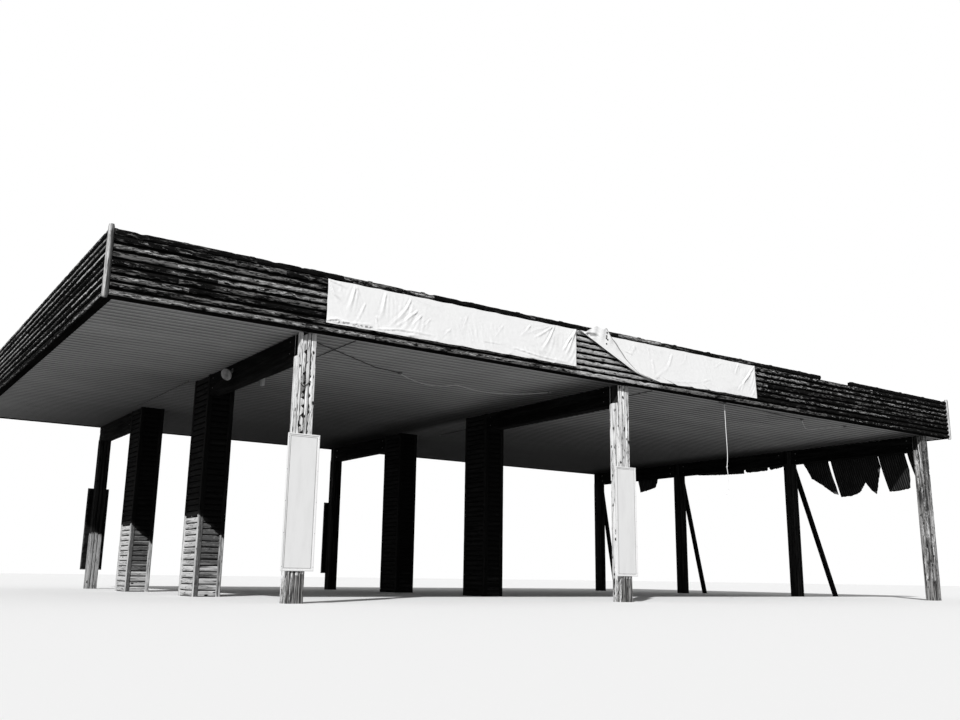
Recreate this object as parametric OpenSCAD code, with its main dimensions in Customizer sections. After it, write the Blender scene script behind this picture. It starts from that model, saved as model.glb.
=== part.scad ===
// Timber filling station canopy: a flat roof with a log fascia on three rows of supports.
// X runs along the front, Y from the front to the back and Z up. Units are millimetres.

/* [Canopy] */
// Length of the canopy along its front
canopy_length = 24700; // [22000:100:28000]
// Depth of the canopy from front to back
canopy_depth = 14900; // [13600:100:17000]
// Height from the feet to the ceiling
clear_height = 4750; // [4300:50:5400]

/* [Fascia] */
// Height of one course of logs
course_height = 128; // [110:1:150]
// Number of courses in the fascia
course_count = 9; // [6:1:12]
// Gap between two courses and between two logs end to end
log_gap = 3; // [1:1:6]
// Thickness of a half-round log
log_thickness = 65; // [45:1:80]
// Usual length of one log
log_length = 5200; // [3000:100:7000]
// Thickness of the framing behind the logs
frame_thickness = 135; // [100:1:180]
// Spacing of the short studs behind the top course
stud_spacing = 1180; // [600:10:1600]
// Width of a short stud
stud_width = 90; // [60:1:140]
// Where the gap in the top course starts, from the left end
missing_start = 18430; // [17000:10:19000]
// Length of the gap in the top course
missing_length = 1340; // [800:10:1800]

/* [Corner poles] */
// Diameter of a corner pole
pole_diameter = 106; // [90:1:120]
// How far a corner pole stands above the top course
pole_rise = 45; // [10:1:120]
// How far a corner pole hangs below the lowest course
pole_drop = 20; // [5:1:60]

/* [Roof] */
// Thickness of the ceiling sheets
soffit_thickness = 20; // [12:1:30]
// Number of ceiling sheets side by side along the canopy
soffit_sheets = 6; // [3:1:10]
// Seam between two ceiling sheets
soffit_seam = 4; // [2:1:8]
// Thickness of the roof covering
deck_thickness = 60; // [40:1:90]
// How far the roof covering lies below the top of the framing
deck_step = 30; // [10:1:60]
// Spacing of the roof trusses
truss_spacing = 1900; // [1200:50:2600]
// Width of a truss member
truss_width = 75; // [50:1:110]
// Height of a truss chord
chord_height = 140; // [100:1:200]

/* [Rows] */
// Left side of the left row of supports
left_row = 3500; // [3000:10:4200]
// Left side of the middle row of supports
middle_row = 11200; // [10000:10:12400]
// Distance from the right end of the canopy to the right side of the end row
end_row_inset = 1040; // [800:10:1800]

/* [Posts] */
// Width of a post across its slabs
post_width = 310; // [270:1:340]
// Thickness of the slabs round a post
slab_thickness = 38; // [25:1:50]
// Distance from the front edge to the second post of the end row
end_post_second = 4850; // [4300:10:5600]
// Distance from the front edge to the third post of the end row
end_post_third = 9880; // [9200:10:10600]

/* [Columns] */
// Width of a column
column_width = 575; // [500:5:680]
// Depth of a column from front to back
column_depth = 980; // [860:5:1100]
// Thickness of a column's walls
column_wall = 60; // [40:1:90]
// Thickness of the log siding on a column
siding_thickness = 42; // [30:1:55]
// Width of a corner board on a column
corner_width = 95; // [80:1:120]
// How far a corner board stands proud of the siding
corner_proud = 8; // [2:1:14]
// Distance from the front edge to the front column of the left row
left_column_front = 4970; // [4300:10:5600]
// Distance from the front edge to the rear column of the left row
left_column_rear = 10180; // [9000:10:10900]
// Distance from the front edge to the front column of the middle row
middle_column_front = 5330; // [4300:10:5900]
// Distance from the front edge to the rear column of the middle row
middle_column_rear = 9860; // [9000:10:10900]

/* [Beams] */
// Depth of a beam below the ceiling
beam_depth = 450; // [360:5:560]
// Width of a beam
beam_width = 290; // [230:1:310]

/* [Props] */
// Width of a leaning prop
prop_width = 130; // [90:1:180]
// How far above a beam's underside a prop meets its post
prop_seat = 180; // [60:10:260]
// Reach of the front prop at the foot
front_prop_reach = 1950; // [1400:10:2300]
// Reach of the middle prop at the foot
middle_prop_reach = 1080; // [800:10:1400]
// Reach of the back prop at the foot
back_prop_reach = 760; // [500:10:1100]

/* [Sign boards] */
// Width of a bare sign board
board_width = 600; // [480:5:720]
// Height of a bare sign board
board_height = 2360; // [1900:10:2800]
// Height of its lower edge above the feet
board_bottom = 540; // [300:10:900]
// Thickness of a sign board's panel
board_thickness = 18; // [10:1:30]
// Width of the strip round a sign board
board_rim = 25; // [15:1:40]
// How far the strip stands proud of the panel
rim_proud = 8; // [3:1:12]

/* [Lamps] */
// Diameter of a lamp's jar
jar_diameter = 110; // [80:1:150]
// Length of a lamp's jar
jar_length = 170; // [120:5:220]
// Diameter of a lamp's base
lamp_base_diameter = 150; // [120:1:190]
// Height of a lamp's base
lamp_base_height = 55; // [40:1:80]
// Distance from a beam's right side to the middle of its near lamp
near_lamp_offset = 130; // [100:5:200]
// Distance from a beam's right side to the middle of its far lamp
far_lamp_offset = 560; // [450:10:800]
// Distance along a beam from its column to its lamps
lamp_setback = 900; // [600:10:1400]

/* [Banners] */
// Left end of the long banner
long_banner_left = 3870; // [3400:10:4400]
// Length of the long banner
long_banner_length = 5930; // [5000:10:6000]
// Space between the two banners
banner_space = 190; // [100:10:700]
// Length of the loose banner
loose_banner_length = 5690; // [5000:10:6300]
// Height of a banner
banner_height = 830; // [700:10:900]
// Height of a banner's lower edge above the ceiling
banner_edge_height = 180; // [60:5:240]
// Thickness of the space that a banner's cloth takes up
banner_thickness = 14; // [8:1:20]
// Clearance between a banner and the logs
banner_gap = 0.3; // [0.3:0.1:0.9]
// How far the loose corner has folded over along the lower edge
fold_length = 2000; // [1200:10:2600]

/* [Torn sheets] */
// Thickness of a corrugated sheet
sheet_thickness = 6; // [4:1:9]
// Pitch of the corrugations
wave_pitch = 130; // [90:1:180]
// Depth of the corrugations
wave_depth = 26; // [16:1:40]
// How far a sheet reaches up the beam
sheet_lap = 330; // [200:5:350]
// Length of the front torn sheets below the beam
torn_drop = 1160; // [800:10:1500]
// Length of the short torn band below the beam
band_drop = 150; // [100:5:300]
// Length of the back torn sheet below the beam
back_drop = 500; // [400:10:900]

/* [Cords] */
// Diameter of the hanging cord
cord_diameter = 14; // [10:1:20]
// Diameter of a slack wire
wire_diameter = 10; // [8:1:14]

/* [Hidden] */

$fn = 48;
fascia_thickness = log_thickness + frame_thickness;
fascia_height = course_count * course_height;
frame_height = (course_count - 1) * course_height;
fascia_top = clear_height + fascia_height;
frame_top = clear_height + frame_height;
pole_radius = pole_diameter / 2;
pole_fit = 0.3; // clearance between a corner pole and its notch
inner_length = canopy_length - 2 * fascia_thickness;
inner_depth = canopy_depth - 2 * fascia_thickness;
deck_top = frame_top - deck_step;
truss_bottom = clear_height + soffit_thickness;
truss_height = deck_top - deck_thickness - truss_bottom;
front_post_y = fascia_thickness;
back_post_y = canopy_depth - fascia_thickness - post_width;
beam_bottom = clear_height - beam_depth;
front_beam_start = front_post_y + post_width;
end_row = canopy_length - end_row_inset - post_width;
end_beam_x = end_row + post_width - beam_width;
siding_back = 10; // thickness of the siding where two courses meet
siding_tuck = 1; // how far the siding is let into the column's wall
prop_x = end_row + post_width;
prop_height = beam_bottom + prop_seat;
prop_run = [front_prop_reach, middle_prop_reach, back_prop_reach];
banner_front = -banner_gap - banner_thickness;
loose_banner_left = long_banner_left + long_banner_length + banner_space;

// The origin is at the middle of the overall box, on the ground
x_reach = max(canopy_length, prop_x + max(prop_run));
middle_x = x_reach / 2;
middle_y = (canopy_depth + banner_front) / 2;

// Routes of the cords, from the point where each one leaves the ceiling
hanging_cord_start = [14800, 260];
hanging_cord_points = [
    [0, 0, 0], [0, 0, -60], [4, 0, -180], [10, 1, -400], [16, 2, -640], [24, 2, -880],
    [30, 0, -1120], [28, 0, -1340], [12, 2, -1500], [0, 4, -1600], [14, 2, -1720],
    [34, 0, -1880], [44, 0, -2020], [26, 2, -2120], [-20, 4, -2190], [-60, 4, -2250]
];
left_wire_start = [6700, 2200];
left_wire_points = [
    [0, 0, 0], [40, 6, -28], [200, 40, -70], [440, 110, -105], [720, 190, -122],
    [1020, 260, -112], [1340, 300, -78], [1560, 306, -30], [1660, 300, -14], [1760, 290, -26],
    [2020, 240, -74], [2340, 160, -108], [2680, 50, -120], [3020, -60, -112],
    [3360, -180, -84], [3640, -270, -44], [3820, -330, -22], [3860, -342, 0]
];
right_wire_start = [18240, 560];
right_wire_points = [
    [0, 0, 0], [20, 10, -26], [140, 90, -66], [360, 220, -104], [620, 380, -124],
    [900, 520, -120], [1180, 590, -96], [1420, 560, -64], [1620, 440, -36], [1760, 280, -14],
    [1840, 140, -22], [1880, 20, -16], [1890, -20, 0]
];

module site() {
    translate([-middle_x, -middle_y, 0]) children();
}

// Outline of a half-round log: its flat back on the X axis, its round face towards +Y
module half_round(width, thickness) {
    radius = (width * width / 4 + thickness * thickness) / (2 * thickness);
    intersection() {
        translate([0, thickness - radius]) circle(radius, $fn = 96);
        translate([-width / 2, 0]) square([width, thickness]);
    }
}

// A course of logs end to end, from one X to another, its round face towards -Y
module course(from, to, shift, z) {
    first = from - log_length * shift;
    count = ceil((to - first) / log_length);
    for (k = [0 : count - 1]) {
        a = max(from, first + k * log_length);
        b = min(to, first + (k + 1) * log_length) - (k < count - 1 ? log_gap : 0);
        if (b - a > log_thickness)
            translate([a, log_thickness, z])
                rotate([90, 0, 90])
                    linear_extrude(b - a)
                        translate([0, course_height / 2])
                            rotate(90)
                                half_round(course_height - log_gap, log_thickness);
    }
}

// How far the joints of one course are moved along, as a share of a log
function joint_shift(i) = 0.08 + (i * 0.382) % 1 * 0.84;

module log_wall(length, side, open_start = 0, open_length = 0) {
    from = pole_diameter + log_gap;
    to = length - pole_diameter - log_gap;
    for (i = [0 : course_count - 1]) {
        z = clear_height + i * course_height;
        shift = joint_shift(i + side);
        if (i == course_count - 1 && open_length > 0) {
            course(from, open_start, shift, z);
            course(open_start + open_length, to, shift, z);
        } else course(from, to, shift, z);
    }
}

// The framing of one side, with short studs behind the top course
module frame_wall(length, inset, open_start = 0, open_length = 0) {
    wall = length - 2 * inset;
    bays = ceil(wall / stud_spacing);
    step = (wall - stud_width) / bays;
    translate([inset, log_thickness, clear_height])
        cube([wall, frame_thickness, frame_height]);
    for (k = [0 : bays]) {
        x = inset + k * step;
        if (open_length == 0 || x + stud_width < open_start || x > open_start + open_length)
            translate([x, log_thickness, frame_top])
                cube([stud_width, frame_thickness, course_height - log_gap]);
    }
}

module corner_pole_at(x, y, extra) {
    translate([x, y, clear_height - pole_drop])
        cylinder(h = fascia_height + pole_drop + pole_rise, r = pole_radius + extra);
}

module all_corner_poles(extra = 0) {
    for (x = [pole_radius, canopy_length - pole_radius])
        for (y = [pole_radius, canopy_depth - pole_radius])
            corner_pole_at(x, y, extra);
}

// Turns a wall that is drawn along the front so that it stands on another side
module on_back() translate([canopy_length, canopy_depth, 0]) rotate(180) children();
module on_left() translate([0, canopy_depth, 0]) rotate(-90) children();
module on_right() translate([canopy_length, 0, 0]) rotate(90) children();

module roof_deck() {
    color("dimgray")
        site() translate([fascia_thickness, fascia_thickness, deck_top - deck_thickness])
            cube([inner_length, inner_depth, deck_thickness]);
}

module roof_trusses() {
    count = floor(inner_length / truss_spacing);
    margin = (inner_length - (count - 1) * truss_spacing) / 2;
    bay_count = 8;
    bay = (inner_depth - truss_width) / bay_count;
    color("peru") site() for (k = [0 : count - 1])
        translate([fascia_thickness + margin + k * truss_spacing - truss_width / 2,
                   fascia_thickness, truss_bottom])
            difference() {
                cube([truss_width, inner_depth, truss_height]);
                for (j = [0 : bay_count - 1])
                    translate([-1, truss_width + j * bay, chord_height])
                        cube([truss_width + 2, bay - truss_width, truss_height - 2 * chord_height]);
            }
}

module soffit() {
    step = (inner_length + soffit_seam) / soffit_sheets;
    color("darkgray") site() for (k = [0 : soffit_sheets - 1])
        translate([fascia_thickness + k * step, fascia_thickness, clear_height])
            cube([step - soffit_seam, inner_depth, soffit_thickness]);
}

module front_frame() {
    color("saddlebrown") site() difference() {
        frame_wall(canopy_length, log_thickness, missing_start, missing_length);
        all_corner_poles(pole_fit);
    }
}

module back_frame() {
    color("saddlebrown") site() difference() {
        on_back() frame_wall(canopy_length, log_thickness);
        all_corner_poles(pole_fit);
    }
}

module left_frame() {
    color("saddlebrown") site() on_left() frame_wall(canopy_depth, fascia_thickness);
}

module right_frame() {
    color("saddlebrown") site() on_right() frame_wall(canopy_depth, fascia_thickness);
}

module front_logs() {
    color("rosybrown") site() log_wall(canopy_length, 0, missing_start, missing_length);
}

module back_logs() {
    color("rosybrown") site() on_back() log_wall(canopy_length, 3);
}

module left_logs() {
    color("rosybrown") site() on_left() log_wall(canopy_depth, 5);
}

module right_logs() {
    color("rosybrown") site() on_right() log_wall(canopy_depth, 7);
}

module corner_poles() {
    color("tan") site() all_corner_poles();
}

// Plan of a post: a square core with two half-round slabs on each side
module post_plan() {
    core = post_width - 2 * slab_thickness;
    translate([slab_thickness, slab_thickness]) square(core);
    for (turn = [0 : 90 : 270])
        translate([post_width / 2, post_width / 2]) rotate(turn)
            for (side = [-1, 1])
                translate([side * core / 4, core / 2 - 0.01])
                    half_round(core / 2, slab_thickness);
    for (x = [slab_thickness, post_width - slab_thickness])
        for (y = [slab_thickness, post_width - slab_thickness])
            translate([x, y]) circle(slab_thickness);
}

module post(x, y) {
    site() translate([x, y, 0]) linear_extrude(clear_height) post_plan();
}

module left_front_post() color("wheat") post(left_row, front_post_y);
module left_back_post() color("wheat") post(left_row, back_post_y);
module middle_front_post() color("wheat") post(middle_row, front_post_y);
module middle_back_post() color("wheat") post(middle_row, back_post_y);
module end_front_post() color("wheat") post(end_row, front_post_y);
module end_second_post() color("burlywood") post(end_row, end_post_second);
module end_third_post() color("burlywood") post(end_row, end_post_third);
module end_back_post() color("burlywood") post(end_row, back_post_y);

// Log siding of one face of a column, drawn along the front face
module siding(length, start) {
    count = ceil(clear_height / course_height);
    translate([start, 0, 0]) rotate([90, 0, 90]) linear_extrude(length) {
        intersection() {
            square([siding_thickness, clear_height]);
            for (k = [0 : count - 1])
                translate([siding_thickness, (k + 0.5) * course_height]) rotate(90)
                    half_round(course_height, siding_thickness);
        }
        translate([siding_thickness - siding_back, 0])
            square([siding_back + siding_tuck, clear_height]);
    }
}

module column(x, y) {
    inner_x = column_width - 2 * siding_thickness;
    inner_y = column_depth - 2 * siding_thickness;
    face_x = column_width - 2 * corner_width;
    face_y = column_depth - 2 * corner_width;
    board = siding_thickness + corner_proud;
    site() translate([x, y, 0]) {
        translate([siding_thickness, siding_thickness, 0]) difference() {
            cube([inner_x, inner_y, clear_height]);
            translate([column_wall, column_wall, -1])
                cube([inner_x - 2 * column_wall, inner_y - 2 * column_wall, clear_height + 2]);
        }
        siding(face_x, corner_width);
        translate([column_width, column_depth, 0]) rotate(180) siding(face_x, corner_width);
        translate([0, column_depth, 0]) rotate(-90) siding(face_y, corner_width);
        translate([column_width, 0, 0]) rotate(90) siding(face_y, corner_width);
        for (mx = [0, 1]) for (my = [0, 1])
            translate([mx * column_width, my * column_depth, 0])
                mirror([mx, 0, 0]) mirror([0, my, 0])
                    translate([-corner_proud, -corner_proud, 0]) {
                        cube([corner_width + corner_proud, board, clear_height]);
                        cube([board, corner_width + corner_proud, clear_height]);
                    }
    }
}

module left_front_column() color("sienna") column(left_row, left_column_front);
module left_rear_column() color("sienna") column(left_row, left_column_rear);
module middle_front_column() color("sienna") column(middle_row, middle_column_front);
module middle_rear_column() color("sienna") column(middle_row, middle_column_rear);

// A beam under the ceiling between two supports of one row
module beam(x, from, to) {
    color("maroon") site() translate([x, from, beam_bottom])
        cube([beam_width, to - from, beam_depth]);
}

module left_front_beam() beam(left_row, front_beam_start, left_column_front - corner_proud);
module left_rear_beam()
    beam(left_row, left_column_rear + column_depth + corner_proud, back_post_y);
module middle_front_beam()
    beam(middle_row, front_beam_start, middle_column_front - corner_proud);
module middle_rear_beam()
    beam(middle_row, middle_column_rear + column_depth + corner_proud, back_post_y);

module end_beam() {
    stops = [front_post_y, end_post_second, end_post_third, back_post_y];
    for (k = [0 : 2]) beam(end_beam_x, stops[k] + post_width, stops[k + 1]);
}

// A prop that leans from the side of an end post down to the ground
module prop(y, reach) {
    slope = reach / prop_height;
    foot = prop_width * sqrt(1 + slope * slope);
    rise = foot / slope;
    color("peru") site()
        translate([prop_x, y + (post_width + prop_width) / 2, 0]) rotate([90, 0, 0])
            linear_extrude(prop_width)
                polygon([[0, prop_height], [0, max(prop_height - rise, prop_height / 2)],
                         [(reach - foot) - 0.01, 0], [reach, 0]]);
}

module front_prop() prop(end_post_second, front_prop_reach);
module middle_prop() prop(end_post_third, middle_prop_reach);
module back_prop() prop(back_post_y, back_prop_reach);

// A bare board with a raised strip round it, its back against a post
module board() {
    cube([board_width, board_thickness, board_height]);
    translate([0, board_thickness - 0.01, 0]) difference() {
        cube([board_width, rim_proud, board_height]);
        translate([board_rim, -1, board_rim])
            cube([board_width - 2 * board_rim, rim_proud + 2, board_height - 2 * board_rim]);
    }
}

board_shift = (post_width - board_width) / 2;
module front_board(row) {
    color("whitesmoke") site() translate([row + board_shift + board_width, front_post_y, board_bottom])
        rotate(180) board();
}

module back_board(row) {
    color("whitesmoke") site()
        translate([row + board_shift, back_post_y + post_width, board_bottom]) board();
}

module left_front_board() front_board(left_row);
module middle_front_board() front_board(middle_row);
module left_back_board() back_board(left_row);
module middle_back_board() back_board(middle_row);

// A lamp under the ceiling: a round base and a jar below it
module lamp(x, y) {
    translate([x, y, clear_height - lamp_base_height])
        cylinder(h = lamp_base_height, d = lamp_base_diameter);
    translate([x, y, clear_height - lamp_base_height - jar_length])
        cylinder(h = jar_length + 0.01, d = jar_diameter);
}

module lamps() {
    front_ends = [left_column_front, middle_column_front];
    rear_ends = [left_column_rear, middle_column_rear];
    rows = [left_row, middle_row];
    color("gray") site() for (r = [0, 1]) for (offset = [near_lamp_offset, far_lamp_offset]) {
        x = rows[r] + beam_width + offset;
        lamp(x, front_ends[r] - lamp_setback);
        lamp(x, rear_ends[r] + column_depth + lamp_setback);
    }
}

module banner_plate(left) {
    translate([left, -banner_gap, clear_height + banner_edge_height]) rotate([90, 0, 0])
        linear_extrude(banner_thickness) children();
}

module long_banner() {
    color("ivory") site() banner_plate(long_banner_left)
        square([long_banner_length, banner_height]);
}

module loose_banner() {
    color("ivory") site() banner_plate(loose_banner_left)
        polygon([
            [fold_length, 0], [loose_banner_length, 0], [loose_banner_length, banner_height],
            [banner_height * 0.72, banner_height], [0, banner_height * 1.02],
            [-banner_height * 0.02, banner_height * 0.9]
        ]);
}

// Plan of a corrugated sheet along X from 0 to its width
function wave(x) = wave_depth / 2 * (1 - cos(360 * x / wave_pitch));
module corrugated_plan(width) {
    step = wave_pitch / 6;
    count = floor(width / step);
    xs = [for (k = [0 : count]) k * step];
    polygon(concat(
        [for (x = xs) [x, wave(x)]],
        [for (k = [count : -1 : 0]) [xs[k], wave(xs[k]) + sheet_thickness]]
    ));
}

// A torn sheet on the outer side of the end beam, in the bay between two supports. Its place is its
// start and width as shares of the bay, and its edge gives points of the torn outline as shares of
// its width and of its drop.
module torn_sheet(bay, place, drop, edge) {
    from = bay[0] + place[0] * (bay[1] - bay[0]);
    width = place[1] * (bay[1] - bay[0]);
    outline = [for (p = edge) [(1 - p[0]) * width, beam_bottom - p[1] * drop]];
    top = beam_bottom + sheet_lap;
    thick = wave_depth + sheet_thickness;
    site() translate([end_beam_x + beam_width, from + width, 0]) rotate(-90)
        intersection() {
            translate([0, 0, beam_bottom - drop]) linear_extrude(drop + sheet_lap)
                corrugated_plan(width);
            translate([0, thick + 1, 0]) rotate([90, 0, 0]) linear_extrude(thick + 2)
                polygon(concat(outline, [
                    [outline[len(edge) - 1][0], top],
                    [outline[0][0], top]
                ]));
        }
}

module front_torn_sheets() {
    bay = [front_beam_start, end_post_second];
    color("dimgray") {
        torn_sheet(bay, [0.005, 0.058], torn_drop, [[0, 0.55], [0.3, 0.8], [1, 0.7]]);
        torn_sheet(bay, [0.069, 0.226], torn_drop, [[0.14, 0], [0, 0.91], [0.81, 0.95], [1, 0]]);
        torn_sheet(bay, [0.302, 0.389], torn_drop,
            [[0, 0], [0.09, 1], [0.28, 0.69], [0.37, 0.85], [0.85, 0.98], [1, 0]]);
        torn_sheet(bay, [0.698, 0.29], torn_drop,
            [[0, 0.72], [0.05, 0.94], [0.3, 0.72], [0.62, 0.4], [1, 0]]);
    }
}

module torn_band() {
    bay = [end_post_second + post_width, end_post_third];
    color("dimgray") {
        torn_sheet(bay, [0.004, 0.165], band_drop, [[0, 0.3], [0.4, 0.5], [1, 0.2]]);
        torn_sheet(bay, [0.176, 0.212], band_drop, [[0, 0.6], [0.5, 0.45], [1, 0.4]]);
        torn_sheet(bay, [0.394, 0.572], band_drop,
            [[0, 1], [0.3, 0.75], [0.8, 0.35], [0.86, 0.6], [1, 0.1]]);
    }
}

module back_torn_sheet() {
    bay = [end_post_third + post_width, back_post_y];
    color("dimgray")
        torn_sheet(bay, [0.269, 0.262], back_drop, [[0, 0.2], [0.11, 0.64], [0.92, 1], [1, 0]]);
}

// A round tube along a route, with a ring of points at each point of a smoothed route
tube_sides = 8;
function unit(v) = v / norm(v);
function mix_point(p, i, t) = let (
    n = len(p), a = p[max(i - 1, 0)], b = p[i], c = p[min(i + 1, n - 1)], d = p[min(i + 2, n - 1)]
) 0.5 * (2 * b + (c - a) * t + (2 * a - 5 * b + 4 * c - d) * t * t
         + (3 * b - a - 3 * c + d) * t * t * t);
function smooth_route(p) = concat(
    [for (i = [0 : len(p) - 2]) for (t = [0, 0.5]) mix_point(p, i, t)], [p[len(p) - 1]]);
function heading(p, i) = i == 0 ? [0, 0, -1]
    : unit(p[min(i + 1, len(p) - 1)] - p[max(i - 1, 0)]);
function ring(p, i, r) = let (
    w = heading(p, i),
    u = unit(cross(w, abs(w[2]) > 0.9 ? [1, 0, 0] : [0, 0, 1])),
    v = cross(w, u)
) [for (k = [0 : tube_sides - 1])
    p[i] + r * (cos(360 * k / tube_sides) * u + sin(360 * k / tube_sides) * v)];

module tube(points, diameter) {
    route = smooth_route(points);
    n = len(route);
    last = (n - 1) * tube_sides;
    polyhedron(
        points = [for (i = [0 : n - 1]) each ring(route, i, diameter / 2)],
        faces = concat(
            [[for (k = [0 : tube_sides - 1]) k]],
            [[for (k = [tube_sides - 1 : -1 : 0]) last + k]],
            [for (i = [0 : n - 2]) for (k = [0 : tube_sides - 1])
                let (a = i * tube_sides + k, b = i * tube_sides + (k + 1) % tube_sides)
                each [[a, a + tube_sides, b + tube_sides], [a, b + tube_sides, b]]]
        )
    );
}

module ceiling_route(start, points, diameter) {
    site() translate([start[0], start[1], clear_height]) tube(points, diameter);
}

module hanging_cord() color("white")
    ceiling_route(hanging_cord_start, hanging_cord_points, cord_diameter);
module left_slack_wire() color("white")
    ceiling_route(left_wire_start, left_wire_points, wire_diameter);
module right_slack_wire() color("white")
    ceiling_route(right_wire_start, right_wire_points, wire_diameter);

roof_deck();
roof_trusses();
soffit();
front_frame();
back_frame();
left_frame();
right_frame();
front_logs();
back_logs();
left_logs();
right_logs();
corner_poles();
left_front_beam();
left_rear_beam();
middle_front_beam();
middle_rear_beam();
end_beam();
left_front_post();
left_back_post();
middle_front_post();
middle_back_post();
end_front_post();
end_second_post();
end_third_post();
end_back_post();
left_front_column();
left_rear_column();
middle_front_column();
middle_rear_column();
front_prop();
middle_prop();
back_prop();
left_front_board();
left_back_board();
middle_front_board();
middle_back_board();
lamps();
long_banner();
loose_banner();
front_torn_sheets();
torn_band();
back_torn_sheet();
hanging_cord();
left_slack_wire();
right_slack_wire();
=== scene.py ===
# Filling station canopy: the looks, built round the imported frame. Units are metres.
import math
import random

import bmesh
import bpy
from mathutils import Matrix, Vector, noise


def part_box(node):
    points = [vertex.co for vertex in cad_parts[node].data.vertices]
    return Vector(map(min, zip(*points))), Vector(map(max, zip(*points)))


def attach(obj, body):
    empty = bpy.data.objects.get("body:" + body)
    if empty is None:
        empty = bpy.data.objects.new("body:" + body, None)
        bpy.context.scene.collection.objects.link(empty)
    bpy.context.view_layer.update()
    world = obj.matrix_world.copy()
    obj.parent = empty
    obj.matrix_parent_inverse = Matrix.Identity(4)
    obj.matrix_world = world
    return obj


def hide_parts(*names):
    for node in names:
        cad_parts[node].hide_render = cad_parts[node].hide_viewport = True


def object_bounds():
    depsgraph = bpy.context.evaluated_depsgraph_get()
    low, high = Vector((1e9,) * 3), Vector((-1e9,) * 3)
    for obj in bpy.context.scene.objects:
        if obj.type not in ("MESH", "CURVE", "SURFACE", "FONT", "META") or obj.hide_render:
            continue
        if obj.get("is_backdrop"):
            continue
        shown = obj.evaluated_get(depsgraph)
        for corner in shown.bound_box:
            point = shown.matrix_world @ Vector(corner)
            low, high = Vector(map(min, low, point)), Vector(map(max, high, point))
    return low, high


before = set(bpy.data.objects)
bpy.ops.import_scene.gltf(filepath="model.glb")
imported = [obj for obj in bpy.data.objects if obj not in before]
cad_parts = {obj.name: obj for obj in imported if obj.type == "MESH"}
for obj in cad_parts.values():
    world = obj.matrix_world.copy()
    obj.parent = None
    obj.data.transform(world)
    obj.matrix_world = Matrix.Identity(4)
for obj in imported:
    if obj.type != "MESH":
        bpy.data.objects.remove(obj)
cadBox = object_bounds()
print("frame loaded with", len(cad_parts), "nodes")

# The canopy's own datum: its left end, its front face and its ceiling
poleLow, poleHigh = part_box("corner_poles")
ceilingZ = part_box("soffit")[0].z
leftX, frontY, rightX, backY = poleLow.x, poleLow.y, poleHigh.x, poleHigh.y
canopyLength, canopyDepth = rightX - leftX, backY - frontY
east, north, skyward = Vector((1, 0, 0)), Vector((0, 1, 0)), Vector((0, 0, 1))


def at(x, y, z=0.0):
    # A point given from the canopy's front left corner on the ground
    return Vector((leftX + x, frontY + y, z))


# Camera, at the photo's own place and angle
photoCamera = {
    "place": (-3.249, -15.159, 0.486),  # from the canopy's front left corner
    "yaw": 34.753, "pitch": 12.915, "roll": 0.79,  # degrees
    "lens": 35.466, "sensor": 36.0,  # millimetres
    "sight": 900.0,  # metres
}


def makeCamera(look):
    yaw, pitch, roll = (math.radians(look[word]) for word in ("yaw", "pitch", "roll"))
    ahead = Vector((math.sin(yaw) * math.cos(pitch), math.cos(yaw) * math.cos(pitch), math.sin(pitch)))
    right = Vector((math.cos(yaw), -math.sin(yaw), 0))
    upward = right.cross(ahead)
    rolledRight = right * math.cos(roll) + upward * math.sin(roll)
    rolledUp = upward * math.cos(roll) - right * math.sin(roll)
    data = bpy.data.cameras.new("photoCamera")
    data.lens, data.sensor_width = look["lens"], look["sensor"]
    data.clip_end = look["sight"]
    camera = bpy.data.objects.new("photoCamera", data)
    turn = Matrix((rolledRight, rolledUp, -ahead)).transposed().to_4x4()
    camera.matrix_world = Matrix.Translation(at(*look["place"])) @ turn
    bpy.context.scene.collection.objects.link(camera)
    bpy.context.scene.camera = camera


makeCamera(photoCamera)

# Mesh helpers. A shape gathers points, faces, places on the texture and the wood's own marks.


def newShape(seed=0):
    return {
        "points": [], "faces": [], "uvs": [], "seams": {}, "wood": [], "skins": [],
        "random": random.Random(seed),
    }


def addPoint(shape, point, place, mark):
    shape["points"].append(point)
    shape["uvs"].append(place)
    shape["wood"].append(mark)


def addFace(shape, corners, skin=0):
    shape["faces"].append(corners)
    shape["skins"].append(skin)


def joinRings(shape, first, sides, steps, skin=0):
    # Walls between rings of points that follow one another, and a face over each end
    for start in range(first, first + steps * sides, sides):
        for k in range(sides):
            j = (k + 1) % sides
            addFace(shape, (start + k, start + j, start + sides + j, start + sides + k), skin)
    for start in (first, first + steps * sides):
        addFace(shape, tuple(start + k for k in range(sides)), skin)


def addGrid(shape, columns, rows, first=0, skin=0):
    for j in range(rows):
        for i in range(columns):
            a = first + j * (columns + 1) + i
            addFace(shape, (a, a + 1, a + columns + 2, a + columns + 1), skin)


def girthOf(section):
    total = [0.0]
    for k, (p, q) in enumerate(section):
        nextP, nextQ = section[(k + 1) % len(section)]
        total.append(total[-1] + math.hypot(nextP - p, nextQ - q))
    return total


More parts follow.
